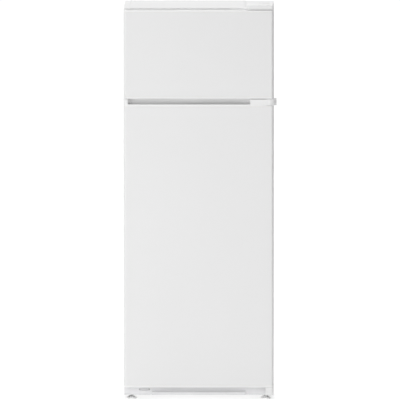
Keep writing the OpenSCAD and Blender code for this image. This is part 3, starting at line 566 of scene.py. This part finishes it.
def blanking_caps():
    """Plain covers of the unused hinge places on the left."""
    d = Draft()
    d.pillow((-273, -238.5, 1438.5), (-258, -170.5, 1439.8), 3, 0.6)
    d.pillow((-271, cabinet_front - 2, 1103), (-255, cabinet_front, 1113), 2, 0.7, "y")
    d.piece("blanking_cap_covers", "blanking_caps", 50)


def kick_panel():
    """Moulded skirt with a rolled lower lip and an oval vent with ribs."""
    low, high = node_box("kick_panel")
    back, face, lip = cabinet_front - 0.2, -244.7, -258.7
    bottom, top = 17, 45
    vent_low, vent_high = (-218, 32), (-180, 42)
    lip_bottom, lip_left, lip_right = 16, -171, 173

    def section(x, profile):
        return [(x, y, z) for y, z in profile]

    plain = [(back, bottom), (face + 0.8, bottom), (face, bottom + 0.8), (face, top - 1),
             (face + 0.8, top), (back, top)]
    d = Draft()
    for x0, x1 in ((low[0], vent_low[0] - 0.5), (vent_high[0] + 0.5, high[0])):
        d.rings([section(x, plain) for x in (x0 + 0.1, x0 + 0.8, x1 - 0.1, x1)])
    # Bridge over and under the vent, with its round-ended slot
    outer = rounded_rect((vent_low[0] - 0.6, bottom + 0.4), (vent_high[0] + 0.6, top - 0.4), 0.3)
    wide = inset_rect((vent_low[0], vent_low[1] - 0.4), (vent_high[0], vent_high[1] + 0.4), -0.4, 5.6)
    slot = rounded_rect((vent_low[0] + 0.2, vent_low[1]), (vent_high[0] - 0.2, vent_high[1]), 5)
    bridge = ((outer, back), (outer, face + 0.4), (wide, face), (slot, face + 0.8), (slot, back))
    d.rings([[(x, y, z) for x, z in outline] for outline, y in bridge], closed=True)
    ribs, pitch, rib_half = 9, 3.5, 1.45
    for i in range(ribs):
        x = vent_low[0] + 5 + i * pitch
        d.pillow((x - rib_half, back - 3.5, vent_low[1] + 0.2),
                 (x + rib_half, back, vent_high[1] - 0.2), 0.8, 0.4)
    # Rolled lip, drawn in at its ends
    rolled = [(back, lip_bottom), (lip + 3, 16), (lip + 1.2, 16.4), (lip + 0.3, 17.3), (lip, 18.6),
              (lip, 25.5), (lip + 0.6, 26.9), (lip + 2, 27.6), (face - 3, 30.2), (face - 0.8, 31.2),
              (face, 32), (back, 32)]
    shy = [(back + (y - back) * 0.9, lip_bottom + (z - lip_bottom) * 0.94 + 0.4) for y, z in rolled]
    d.rings([section(lip_left, shy), section(lip_left + 1.6, rolled), section(lip_right - 1.6, rolled),
             section(lip_right, shy)])
    d.piece("kick_panel_skirt", "kick_panel", 40)


top_panel()
upper_hinge_cover()
rear_panel()
hinge_screws()
blanking_caps()
kick_panel()


# ---------- inside: liners, gaskets and door linings ----------

def moulded_liner(node, outline, half, rim):
    """Vacuum-formed box, open at the front, with round corners and a rim.

    The YZ outline runs between both sides, from the lower to the upper edge of the mouth.
    """
    wall, corner_r = 1.5, 13
    front = outline[0][0]
    bm = bmesh.new()
    sides = [[bm.verts.new(Vector((x, y, z)) * mm) for y, z in outline] for x in (-half, half)]
    count = len(outline)
    for i in range(count):
        j = (i + 1) % count
        bm.faces.new((sides[0][i], sides[0][j], sides[1][j], sides[1][i]))
    bm.faces.new(sides[0])
    bm.faces.new(list(reversed(sides[1])))
    bmesh.ops.recalc_face_normals(bm, faces=bm.faces)

    def in_mouth(element):
        return all(abs(v.co.y - front * mm) < 1e-6 for v in element.verts)

    round_edges(bm, [e for e in bm.edges if not in_mouth(e)], corner_r * mm, 6)
    bmesh.ops.delete(bm, geom=[f for f in bm.faces if in_mouth(f)], context="FACES")
    # Rim: each point of the mouth runs out to the rectangle round it
    low, high = (Vector(c) * mm for c in rim)
    middle, reach = (low + high) / 2, (high - low) / 2
    mouth_low, mouth_high = outline[0][1] * mm, outline[-1][1] * mm
    made = bmesh.ops.extrude_edge_only(bm, edges=[e for e in bm.edges if e.is_boundary])
    for v in made["geom"]:
        if isinstance(v, bmesh.types.BMVert):
            u = v.co.x / (half * mm)
            w = (2 * v.co.z - mouth_high - mouth_low) / (mouth_high - mouth_low)
            s = max(abs(u), abs(w))
            v.co.x, v.co.z = middle.x + reach.x * u / s, middle.y + reach.y * w / s
    mesh = mesh_from(bm, node + "_shell")
    piece = make_piece(node + "_shell", mesh, node_body[node], node_slot[node], 60)
    back = max(mesh.polygons, key=lambda f: f.center.y)
    thick = piece.modifiers.new("wall", "SOLIDIFY")
    thick.thickness = wall * mm
    thick.offset = 1.0 if back.normal.y > 0 else -1.0
    piece.modifiers.move(len(piece.modifiers) - 1, 0)
    rounded = piece.modifiers.new("rim", "BEVEL")
    rounded.width = 0.8 * mm
    rounded.segments = 3
    rounded.limit_method = "ANGLE"
    rounded.angle_limit = math.radians(60)
    piece.modifiers.move(len(piece.modifiers) - 1, 1)
    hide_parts(node)


def shelf_ledges(name, node, half, front, ledges):
    """Ledges along both side walls, one for each (low, high, back, rounding)."""
    reach = 8
    d = Draft()
    for side in (-1, 1):
        x0, x1 = sorted((side * half, side * (half - reach)))
        for z0, z1, back, edge in ledges:
            d.pillow((x0, front, z0), (x1, back, z1), 0.4, edge, "y")
    d.piece(name, node, replace=False)


def cabinet_liners():
    """Both liners, their shelf ledges and the gutter that leads the melt water to the drain."""
    rim_x = 250.8
    low, high, step_y, step_z, back = 82, 1064, 45.5, 258, 215.5
    fridge = [(cabinet_front, low), (step_y, low), (step_y, step_z), (back, step_z), (back, high),
              (cabinet_front, high)]
    moulded_liner("fridge_liner", fridge, fridge_half, ((-rim_x, 48), (rim_x, 1069.8)))
    low, high, freezer_back = 1137, 1385, 200.5
    freezer = [(cabinet_front, low), (freezer_back, low), (freezer_back, high), (cabinet_front, high)]
    moulded_liner("freezer_liner", freezer, freezer_half, ((-rim_x, 1132.2), (rim_x, 1414.3)))
    ledge_tops = ((238, step_y - 0.5), (469.8, back - 1), (744.8, back - 1))
    shelf_ledges("fridge_liner_ledges", "fridge_liner", fridge_half, -140.5,
                 [(z - 6, z, wall_y, 2.2) for z, wall_y in ledge_tops])
    shelf_ledges("freezer_liner_ledges", "freezer_liner", freezer_half, -160.5,
                 [(1254, 1259, freezer_back - 1, 2)])
    d = Draft()
    d.tube([(-180, 208, 286), (-60, 208.5, 279), (20, 209, 275)], 3, 10)
    d.tube([(180, 208, 286), (110, 208.5, 281), (60, 209, 277)], 3, 10)
    d.piece("fridge_liner_gutter", "fridge_liner", replace=False)


def gasket(name):
    """Magnetic gasket: a foot in the door, a bellows fold and a magnet tube against the cabinet."""
    low, high = node_box(name)
    back, front = low[1], high[1]
    profile = [(1.0, back), (11.0, back), (12.6, back + 0.5), (12.2, back + 1.3), (9.6, back + 1.6),
               (9.0, back + 2.2), (10.4, back + 2.7), (12.8, front - 1.6), (13.4, front - 0.9),
               (12.9, front - 0.2), (11.6, front), (2.4, front), (0.7, front - 0.3), (0.1, front - 1.1),
               (0.8, front - 1.9), (3.6, back + 2.4), (3.0, back + 1.5), (0.6, back + 1.1),
               (0.2, back + 0.5)]
    d = Draft()
    d.frame(profile, (low[0], low[2]), (high[0], high[2]))
    d.piece(name + "_profile", name, 25)


def door_lining(name, dikes, dike_z, dike_back):
    """Formed inner sheet of a door: a raised border, two tall dikes and two fields between them."""
    low, high = node_box(name)
    back, flange, dike_wide = -245.5, 2.5, 10
    sheet_low, sheet_high = (low[0] - flange, low[2]), (high[0] + flange, high[2])
    d = Draft()
    d.stack(lambda inset: inset_rect(sheet_low, sheet_high, inset, 2 + min(inset, 12) * 0.5),
            [(low[1] - 1.2, 0.2), (low[1] - 1, 0), (back - 0.9, 0), (back - 0.2, 0.3), (back, 1.0),
             (back, 30.5), (back - 0.6, 31.6), (back - 0.9, 33)], "y")
    for x in dikes:
        dike_low, dike_high = (x, dike_z[0]), (x + dike_wide, dike_z[1])
        d.stack(lambda inset: inset_rect(dike_low, dike_high, inset, 4.4 - min(inset, 3)),
                [(back - 1.0, 0.2), (back + 1.2, 0), (dike_back - 4, 0.5), (dike_back - 2.2, 0.9),
                 (dike_back - 0.8, 1.8), (dike_back - 0.1, 3.2), (dike_back, 4.0)], "y")
    middle = (dike_z[0] + dike_z[1]) / 2
    for z0, z1 in ((dike_z[0] + 14, middle - 7), (middle + 7, dike_z[1] - 14)):
        field_low, field_high = (dikes[0] + 22, z0), (dikes[1] - 12, z1)
        d.stack(lambda inset: inset_rect(field_low, field_high, inset, 14 - inset),
                [(back - 1.2, 0), (back - 0.6, 0), (back - 0.1, 0.8), (back, 2.0)], "y")
    d.piece(name + "_sheet", name, 40)


def insulation():
    """The cabinet's foam, with the one corner eased that faces the liner's rounded step."""
    corner_y, corner_z, near_enough = 47.2 * mm, 256.3 * mm, 0.5 * mm
    bm = cad_mesh("cabinet_foam")
    corner = [e for e in bm.edges if all(abs(v.co.y - corner_y) < near_enough
                                         and abs(v.co.z - corner_z) < near_enough for v in e.verts)]
    round_edges(bm, corner, 16 * mm, 4)
    body = make_piece("cabinet_foam_body", mesh_from(bm, "cabinet_foam"), "cabinet", "foam")
    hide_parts("cabinet_foam")


insulation()
cabinet_liners()
gasket("freezer_door_gasket")
gasket("fridge_door_gasket")
door_lining("fridge_door_liner", dikes=(-222, 201), dike_z=(96, 1050), dike_back=-190.5)
door_lining("freezer_door_liner", dikes=(-208, 201), dike_z=(1149, 1373), dike_back=-210.5)


# ---------- machine bay, feet and small parts ----------

def compressor():
    """Drawn steel shell in two halves with a weld bead, on a foot plate with four holes."""
    x, y = compressor_x, compressor_y
    low, top, r, plate = 24, 182, 68, 3
    middle = (low + top) / 2
    steps = 8
    turn = [math.pi / 2 * i / steps for i in range(steps + 1)]
    profile = [(14 + (r - 15) * math.sin(t), low + plate + 32 * (1 - math.cos(t))) for t in turn]
    profile += [(r - 0.4, middle - 6), (r - 0.2, middle - 3.2), (r + 1.9, middle - 2.8),
                (r + 2.5, middle - 2), (r + 2.5, middle - 0.4), (r + 0.6, middle),
                (r + 0.6, middle + 1.6), (r - 0.6, middle + 2.6), (r - 0.8, middle + 8)]
    profile += [(12 + (r - 13) * math.sin(t), top - 4 - 30 * (1 - math.cos(t))) for t in reversed(turn)]
    profile += [(11, top - 3.4), (9, top - 0.6), (6, top)]
    d = Draft()
    d.lathe(profile, (x, y), steps=64)
    # Foot plate: rings round the four holes, arms to them, two cross bars and the middle
    hole, rim = 6.2, 13.2
    for cx, cy in compressor_holes:
        d.lathe([(hole, low), (rim, low), (rim + 0.6, low + 0.6), (rim + 0.6, low + 2.4),
                 (rim, low + plate), (hole, low + plate)], (cx, cy), steps=32, closed=True)
        inward = -1 if cx > x else 1
        inner = cx + inward * 34
        d.pillow((min(cx, inner), cy - 9, low), (max(cx + inward * 6.5, inner), cy + 9, low + plate), 1, 0.5)
    for bar_y in (y - foot_y, y + foot_y):
        d.pillow((x - 40, bar_y - 13, low), (x + 40, bar_y + 13, low + plate), 4, 0.5)
    d.pillow((x - 52, y - 44, low), (x + 52, y + 44, low + plate), 12, 0.5)
    # Process stub, and the socket of one pipe
    d.tube([(x + 20, y - 60, low + 40), (x + 22, y - 74, low + 42), (x + 26, y - 76, low + 58)], 2.6)
    d.tube([(x + r - 4, y, low + 60), (x + r + 5, y, low + 60)], 4.6, 16)
    d.piece("compressor_shell", "compressor", 40)


def grommets():
    """Rubber mounts, waisted in the plate's holes, each with a steel sleeve on its pin."""
    d = Draft()
    pins = Draft()
    for centre in compressor_holes:
        d.lathe([(4, 17.5), (8.4, 17.5), (9, 18.2), (8.8, 19.6), (7.4, 20.4), (7.4, 21.6), (9, 22.4),
                 (9, 23.6), (8, 24), (6, 24), (6, 31.6), (5.4, 33), (4, 33)],
                centre, steps=32, closed=True)
        pins.lathe([(3.9, 17.6), (3.9, 32.6), (3.4, 33.0), (2.2, 33.0), (2.2, 17.6)],
                   centre, steps=24, closed=True)
    d.piece("compressor_grommet_mounts", "compressor_grommets", 40)
    pins.piece("compressor_grommet_sleeves", "compressor_grommets", slot="zinc_plated_steel", replace=False)


def thread(low, high, r):
    """Profile of a threaded stud as rings of crests and roots."""
    pitch, root = 1.75, r - 0.45
    profile = [(root, low)]
    for i in range(int((high - low - 1) / pitch)):
        z = low + 0.5 + i * pitch
        profile += [(root, z), (r, z + pitch * 0.4), (r, z + pitch * 0.55), (root, z + pitch * 0.95)]
    return profile + [(root, high - 0.6), (root - 0.8, high)]


def front_foot(node, side):
    """Levelling foot: a ribbed disc with a hexagon for the spanner, moulded round a threaded stud."""
    centre = (side * 246, -216.5)
    crest, root, points, spanner_r = 18.0, 17.2, 96, 11

    def ribbed(inset):
        return [polar(centre, (crest if i % 4 < 2 else root) - inset, 2 * math.pi * i / points)
                for i in range(points)]

    def hexagon(inset):
        return circle(centre, spanner_r - inset, 6)

    d = Draft()
    d.stack(ribbed, [(0, 1.6), (0.3, 0.7), (1.1, 0), (5.6, 0), (6.5, 0.4), (7.0, 1.4), (7.0, 3.6)])
    d.stack(hexagon, [(6.8, 0), (11.4, 0), (12.0, 0.9)])
    d.piece(node + "_disc", node, 40)
    stud = Draft()
    stud.lathe(thread(12, 40, 5.0), centre, steps=32)
    stud.piece(node + "_stud", node, 40, slot="zinc_plated_steel", replace=False)


def rear_roller(node, side):
    """Moulded wheel with a grooved tread, a web and spokes, round its bore."""
    x, centre = side * 225, (223.5, 15)
    wheel, bore, half = 15, 4.1, 11
    d = Draft()
    d.lathe([(12, x - half), (14.2, x - half), (wheel, x - 10), (wheel, x - 3.4), (14.6, x - 2.8),
             (14.6, x + 2.8), (wheel, x + 3.4), (wheel, x + 10), (14.2, x + half), (12, x + half),
             (11.8, x + 8.2), (7.4, x + 8), (7.0, x + 10.6), (6.6, x + half), (bore, x + half),
             (bore, x - half), (6.6, x - half), (7.0, x - 10.6), (7.4, x - 8), (11.8, x - 8.2)],
            centre, "x", 48, closed=True)
    for i in range(6):
        spoke = turned_bar(centre, math.pi / 3 * i, 6.8, 12.2, 0.7)
        for face in (-1, 1):
            d.prism(spoke, *sorted((x + face * 7.6, x + face * 10.2)), "x")
    d.piece(node + "_wheel", node, 40)


def thermostat_knob():
    """Turned knob with a fluted skirt, a raised grip bar and a dished face."""
    front, back = -226.5, -214.8
    x, z = knob_centre
    r, flute, points = 15, 0.45, 120

    def fluted(inset):
        """Flutes on the skirt only: the dished face inside it is round."""
        deep = flute if inset < 3 else 0
        return [polar(knob_centre, r - (deep if i % 5 < 2 else 0) - inset, 2 * math.pi * i / points)
                for i in range(points)]

    d = Draft()
    d.stack(fluted, [(back, 0.6), (back - 0.6, 0), (front + 1.4, 0.3), (front + 0.5, 0.8), (front, 1.8),
                     (front, 3.2), (front + 1.0, 4.2), (front + 1.2, 9)], "y")
    d.pillow((x - 2.4, front - 3, z - 12), (x + 2.4, front + 2, z + 14), 2.0, 1.0, "y")
    d.lathe([(3, back), (3, -200.6), (2.6, -200.2)], knob_centre, "y", 24)
    d.piece("thermostat_knob_dial", "thermostat_knob", 40)
    mark = Draft()
    mark.pillow((x - 0.6, front - 3.4, z + 4), (x + 0.6, front - 2.8, z + 13), 0.5, 0.2, "y")
    mark.piece("thermostat_knob_mark", "thermostat_knob", slot="dark_plastic", replace=False)


def control_marks():
    """Dashes of growing length round the knob, printed on the housing, and dark strips on its sides that
    paint the shade of slots.
    """
    front, marks_r, half = -214.62, 16.2, 0.35
    d = Draft()
    for i in range(7):
        dash = turned_bar(knob_centre, math.radians(225 - 45 * i), marks_r, marks_r + 0.8 + 0.25 * i, half)
        d.prism(dash, front, -214.4, "y")
    d.piece("thermostat_housing_marks", "thermostat_housing", slot="dark_plastic", replace=False)
    side_x, proud = 77.95, 0.25
    # Painted shade: thin dark strips a little proud of the side walls, where slots would be dark inside; no
    # holes are cut
    painted_slot_shade = Draft()
    for i in range(7):
        z = 1031 + i * 4
        for x in (-side_x, side_x):
            painted_slot_shade.pillow((x - proud, -150, z), (x + proud, -30, z + 1.4), 0.6, 0.05, "x")
    painted_slot_shade.piece("thermostat_housing_slot_shade", "thermostat_housing", slot="dark_plastic", replace=False)


def evaporator_plate():
    """Roll-bonded sheet on four stand-offs, with one serpentine channel swelling out of its face."""
    low, high = node_box("evaporator_plate")
    sheet_y = 209.5
    d = Draft()
    d.pillow((low[0], sheet_y, low[2]), (high[0], sheet_y + 1.5, high[2]), 8, 0.5, "y")
    for x in (-173, 173):
        for z in (652, 968):
            d.lathe([(5, high[1]), (5, sheet_y + 1.3)], (x, z), "y", 24)
            pan_screw(d, (x, z), sheet_y, -1, "y", r=3.6, height=2.0)
    rows, first_row, pitch, reach = 9, 670, 35, 148
    bend_r, bend_steps = pitch / 2, 8
    route = []
    for i in range(rows):
        z = first_row + pitch * i
        way = 1 if i % 2 == 0 else -1
        route += [(-way * reach, sheet_y, z), (way * reach, sheet_y, z)]
        if i + 1 < rows:
            route += [(way * reach + way * bend_r * math.sin(t), sheet_y, z + bend_r * (1 - math.cos(t)))
                      for t in (math.pi * k / bend_steps for k in range(1, bend_steps))]
    d.tube(route, 2.9)
    d.piece("evaporator_plate_sheet", "evaporator_plate", 50)


compressor()
grommets()
front_foot("front_foot_left", -1)
front_foot("front_foot_right", 1)
rear_roller("rear_roller_left", -1)
rear_roller("rear_roller_right", 1)
thermostat_knob()
control_marks()
evaporator_plate()


# ---------- hinge covers and the condenser's pipes ----------

def middle_hinge_cover():
    """Moulded cover, round about the pin and drawn out past the cabinet's side, with full edges."""
    low, high = node_box("middle_hinge_cover")
    bottom, top = low[2] - 1.0, high[2] + 0.2
    pin_r, ear, ear_r, ear_x, left = 20.4, (284, -264.5), 3, 287, 238.3

    def outline(inset):
        behind = cabinet_front - 0.2 - inset * 0.3
        return arc(hinge_pin, pin_r - inset, 180, 203, 34) + arc(ear, ear_r - inset, -80, 80, 10) + [
            (ear_x - inset, -246), (ear_x - 0.6 - inset, behind - 0.5), (ear_x - 1.5 - inset, behind),
            (left + 1.7 + inset, behind), (left + inset, behind - 1.3)]

    d = Draft()
    d.stack(outline, [(bottom, 1.6), (bottom + 0.1, 0.9), (bottom + 0.5, 0.3), (bottom + 1.3, 0),
                      (top - 1.6, 0), (top - 0.6, 0.4), (top - 0.1, 1.1), (top, 2.0)])
    d.lathe([(8.6, top - 0.1), (8.4, top + 0.15), (7.6, top + 0.2), (6.2, top + 0.2), (6.0, top - 0.1)],
            hinge_pin, closed=True)
    d.piece("middle_hinge_cover_body", "middle_hinge_cover", 40)


def hood_skirt():
    """Thin skirt of the upper hinge hood in front of the cabinet, just clear of the freezer door."""
    low, high = node_box("upper_hinge_cover")
    bottom, top = 1437.2, low[2] + 0.8
    wall, corner_r, overlap, steps = 1.8, 7, 0.6, 8
    straight = corner_r - overlap
    d = Draft()
    d.pillow((low[0] + straight, low[1], bottom), (high[0] - straight, low[1] + wall, top), 0.3, 0.3)
    for x in (low[0], high[0] - wall):
        d.pillow((x, low[1] + straight, bottom), (x + wall, cabinet_front - 1, top), 0.3, 0.3)
    for x, start in ((low[0] + corner_r, 180), (high[0] - corner_r, 270)):
        corner = (x, low[1] + corner_r)
        outer = arc(corner, corner_r, start, 90, steps)
        inner = arc(corner, corner_r - wall, start, 90, steps)
        d.prism(outer + inner[::-1], bottom, top)
    d.piece("upper_hinge_cover_skirt", "upper_hinge_cover", 50, replace=False)


def bent_route(points, r):
    """The route with every corner rounded by a curve that starts r before it."""
    steps = 6
    path = [points[0]]
    for before, corner, after in zip(points, points[1:], points[2:]):
        before, corner, after = Vector(before), Vector(corner), Vector(after)
        start = corner + (before - corner).normalized() * r
        end = corner + (after - corner).normalized() * r
        path += [tuple((1 - t) ** 2 * start + 2 * t * (1 - t) * corner + t * t * end)
                 for t in (i / steps for i in range(steps + 1))]
    return path + [points[-1]]


def condenser_feed():
    """The hot pipe climbs the rear sheet to the top run, and the drier's pipe leaves the lowest run."""
    hot_x, drier_x, joint_y, sheet_y = 148, -140, 265.5, 262
    run_y, run_x, top_run, lowest_run = 271.5, -199, 1260, 330
    feed = Draft()
    hot = [(hot_x, joint_y, 306), (hot_x, sheet_y, 330), (hot_x, sheet_y, 1290), (-213, sheet_y, 1290),
           (-213, 268, 1262), (-213, run_y, top_run), (run_x, run_y, top_run)]
    feed.tube(bent_route(hot, 6), 2.4)
    cool = [(drier_x, joint_y, 306), (drier_x, joint_y, 318), (-212, 266, 318), (-212, run_y, lowest_run),
            (run_x, run_y, lowest_run)]
    feed.tube(bent_route(cool, 5), 2.0)
    feed.piece("condenser_feed_pipes", "condenser", replace=False)
    joints = Draft()
    for x, pipe, sleeve in ((hot_x, 2.2, 3.7), (drier_x, 1.8, 3.0)):
        joints.lathe([(pipe, 292), (sleeve, 293), (sleeve + 0.2, 300), (sleeve, 307), (pipe, 308)],
                     (x, joint_y), steps=20)
    joints.piece("refrigerant_tubes_joints", "refrigerant_tubes", replace=False)


middle_hinge_cover()
hood_skirt()
condenser_feed()


# ---------- bins, drawer and the corner of the fridge door ----------

def door_bin(node, bands):
    """Clear moulded bin: round corners, raised bands, a thick rim and a rod along its front edge."""
    low, high = node_box(node)
    bottom, top, face = low[2], high[2] - 2.4, high[1] - 1.2

    def outline(inset):
        return inset_rect(low, (high[0], face), inset, max(8 - inset, 2.5), 8)

    levels = [(bottom, 7.5), (bottom + 0.3, 5), (bottom + 1.4, 2.6), (bottom + 3.2, 1.3), (bottom + 6, 0.9)]
    for z in bands:
        levels += [(z - 3, 0.9), (z - 1.6, 0.15), (z + 1.6, 0.15), (z + 3, 0.9)]
    levels += [(top - 7, 0.8), (top - 6, 0.1), (top - 5, 0), (top - 0.5, 0), (top, 0.5), (top, 1.7),
               (top - 0.5, 2.2), (top - 6, 2.3), (top - 9, 2.4), (bottom + 9, 2.6), (bottom + 4.5, 3.4),
               (bottom + 2.8, 5.2), (bottom + 2.2, 9)]
    d = Draft()
    d.stack(outline, levels)
    x0, x1, rod_r = low[0] + 8, high[0] - 8, 2.4
    d.lathe([(0.5, x0), (1.7, x0 + 0.3), (2.3, x0 + 1.2), (rod_r, x0 + 2), (rod_r, x1 - 2), (2.3, x1 - 1.2),
             (1.7, x1 - 0.3), (0.5, x1)], (high[1] - rod_r, top), "x", 20)
    d.piece(node + "_shell", node, 40)


def vegetable_drawer():
    """Deep drawer with drawn walls, raised bands and a hollow pull along its front."""
    low, high = node_box("crisper_drawer")
    bottom, top, front = low[2], high[2], low[1] + 9

    def outline(inset):
        return inset_rect((low[0], front), high, inset, max(12 - inset, 3), 8)

    levels = [(bottom, 11), (bottom + 0.4, 8), (bottom + 1.8, 5), (bottom + 4.5, 3.4), (bottom + 9, 2.8)]
    for z in (112, 124, 136):
        levels += [(z - 3, 2.4), (z - 1.6, 1.6), (z + 1.6, 1.5), (z + 3, 2.2)]
    levels += [(top - 26, 1.2), (top - 8, 0.9), (top - 6.5, 0.1), (top - 5.5, 0), (top - 0.6, 0), (top, 0.6),
               (top, 2.0), (top - 0.6, 2.5), (top - 7, 2.7), (top - 26, 3.2), (bottom + 12, 4.8),
               (bottom + 6, 6), (bottom + 3.2, 8.5), (bottom + 2.4, 13)]
    d = Draft()
    d.stack(outline, levels)
    x, y, pull_top = high[0] - 20, low[1], top - 2
    pull = [(front + 0.6, pull_top), (y + 2.2, pull_top), (y + 0.6, pull_top - 0.6), (y, pull_top - 2.2),
            (y, pull_top - 18.8), (y + 0.5, pull_top - 19.7), (y + 1.3, pull_top - 20),
            (y + 2.2, pull_top - 19.7), (y + 2.6, pull_top - 18.8), (y + 2.6, pull_top - 4),
            (y + 3.4, pull_top - 3), (front + 0.6, pull_top - 2.8)]
    shy = [(a + (front - a) * 0.08, b - 0.5 * (b > pull_top - 5)) for a, b in pull]
    d.rings([[(share * x, a, b) for a, b in section]
             for share, section in ((-1, shy), (-0.994, pull), (0.994, pull), (1, shy))])
    for side in (-1, 1):
        x0, x1 = sorted((side * (x - 0.3), side * (x - 2.9)))
        d.pillow((x0, y + 0.4, pull_top - 19.8), (x1, front + 0.6, pull_top - 0.5), 1.2, 0.6, "x")
    d.piece("crisper_drawer_shell", "crisper_drawer", 40)


def hinge_fillet():
    """Curved end of the fridge door's front, which turns round the middle hinge's cover."""
    bottom, top = node_box("middle_hinge_cover")[0][2] - 1.2, 1108.6
    cover_r, steps = 21.1, 22
    left, door_front = 237.4, -297.2

    def outline(inset):
        hollow = [polar(hinge_pin, cover_r, math.radians(252 - 3.2 * i - 4 * inset * (1 - i / steps)))
                  for i in range(steps + 1)]
        back = hinge_pin[1] - 0.5
        return [(left + 0.8, back), (left, back), (left, door_front + inset)] + hollow

    d = Draft()
    d.stack(outline, [(bottom, 0.1), (bottom + 0.3, 0), (top - 0.9, 0), (top - 0.3, 0.3), (top, 0.9)])
    d.piece("fridge_door_hinge_fillet", "fridge_door_top_cap", 40, replace=False)


door_bin("middle_bin", bands=(500, 512))
door_bin("bottle_bin", bands=(142, 156))
door_bin("freezer_bin_upper", bands=(1314,))
door_bin("freezer_bin_lower", bands=(1174, 1185))
vegetable_drawer()
hinge_fillet()


# ---------- stage, light and camera ----------

def stage_floor():
    """White floor with some light of its own, so that it ends up as white as the backdrop."""
    reach = 14
    corners = [(-reach, -reach, 0), (reach, -reach, 0), (reach, reach, 0), (-reach, reach, 0)]
    mesh = bpy.data.meshes.new("floor")
    mesh.from_pydata(corners, [], [(0, 1, 2, 3)])
    floor = bpy.data.objects.new("floor", mesh)
    collection.objects.link(floor)
    s = Surface("floor", Roughness=0.9, Emission_Strength=0.69)
    s.shader.inputs["Emission Color"].default_value = (1, 1, 1, 1)
    s.colours(s.noise(0.8, 2), near(grey(0.62), 0.005))
    mesh.materials.append(s.material)


def studio_world():
    """White surroundings, a little brighter from the left and above, and plain white behind the object."""
    white = (1, 1, 1, 1)
    slope, level_all_round, backdrop_level = (-0.20, 0.28, 0.54), 0.205, 1.05
    world = bpy.data.worlds.new("studio")
    bpy.context.scene.world = world
    world.use_nodes = True
    tree = world.node_tree
    add, link = tree.nodes.new, tree.links.new
    place = add("ShaderNodeTexCoord")
    along = add("ShaderNodeVectorMath")
    along.operation = "DOT_PRODUCT"
    along.inputs[1].default_value = slope
    level = add("ShaderNodeMath")
    level.operation = "ADD"
    level.inputs[1].default_value = level_all_round
    level.use_clamp = True
    soft = tree.nodes["Background"]
    soft.inputs["Color"].default_value = white
    backdrop = add("ShaderNodeBackground")
    backdrop.inputs["Color"].default_value = white
    backdrop.inputs["Strength"].default_value = backdrop_level
    seen = add("ShaderNodeLightPath")
    mix = add("ShaderNodeMixShader")
    link(place.outputs["Generated"], along.inputs[0])
    link(along.outputs["Value"], level.inputs[0])
    link(level.outputs["Value"], soft.inputs["Strength"])
    link(seen.outputs["Is Camera Ray"], mix.inputs["Fac"])
    link(soft.outputs["Background"], mix.inputs[1])
    link(backdrop.outputs["Background"], mix.inputs[2])
    link(mix.outputs["Shader"], tree.nodes["World Output"].inputs["Surface"])


def soft_box(name, place, target, size, power, shine):
    """Area light at a place, turned to a target; shine is its share in the reflections."""
    lamp = bpy.data.lights.new(name, "AREA")
    lamp.shape = "RECTANGLE"
    lamp.size, lamp.size_y = size
    lamp.energy = power
    lamp.specular_factor = shine
    holder = bpy.data.objects.new(name, lamp)
    holder.location = place
    holder.rotation_euler = (Vector(target) - Vector(place)).to_track_quat("-Z", "Y").to_euler()
    collection.objects.link(holder)


def front_camera():
    """A very long lens, a few degrees above level, square to the doors."""
    distance = 68.0
    elevation = math.radians(4.0)
    turn = math.radians(0.42)
    seen_height = 1.469
    sensor = 36
    target = Vector((0.0056, cad_box[0][1], 0.7385))
    camera = bpy.data.cameras.new("camera")
    camera.sensor_width = sensor
    camera.lens = sensor * distance / seen_height
    camera.clip_start = 1
    camera.clip_end = 200
    holder = bpy.data.objects.new("camera", camera)
    collection.objects.link(holder)
    level = math.cos(elevation)
    back = Vector((math.sin(turn) * level, -math.cos(turn) * level, math.sin(elevation)))
    holder.location = target + back * distance
    holder.rotation_euler = (math.radians(90) - elevation, 0, turn)
    bpy.context.scene.camera = holder


stage_floor()
studio_world()
soft_box("key", place=(-1.15, -2.5, 0.9), target=(-0.2, -0.3, 0.75), size=(0.5, 2.4), power=7.5, shine=0.5)
soft_box("fill", place=(-1.5, -6.0, 1.5), target=(0, -0.3, 0.7), size=(1.6, 1.0), power=64, shine=0)
soft_box("overhead", place=(-0.1, 0.4, 3.6), target=(-0.1, 0.3, 1.4), size=(2.4, 2.4), power=36, shine=0.8)
front_camera()
bpy.context.scene.view_settings.view_transform = "Standard"
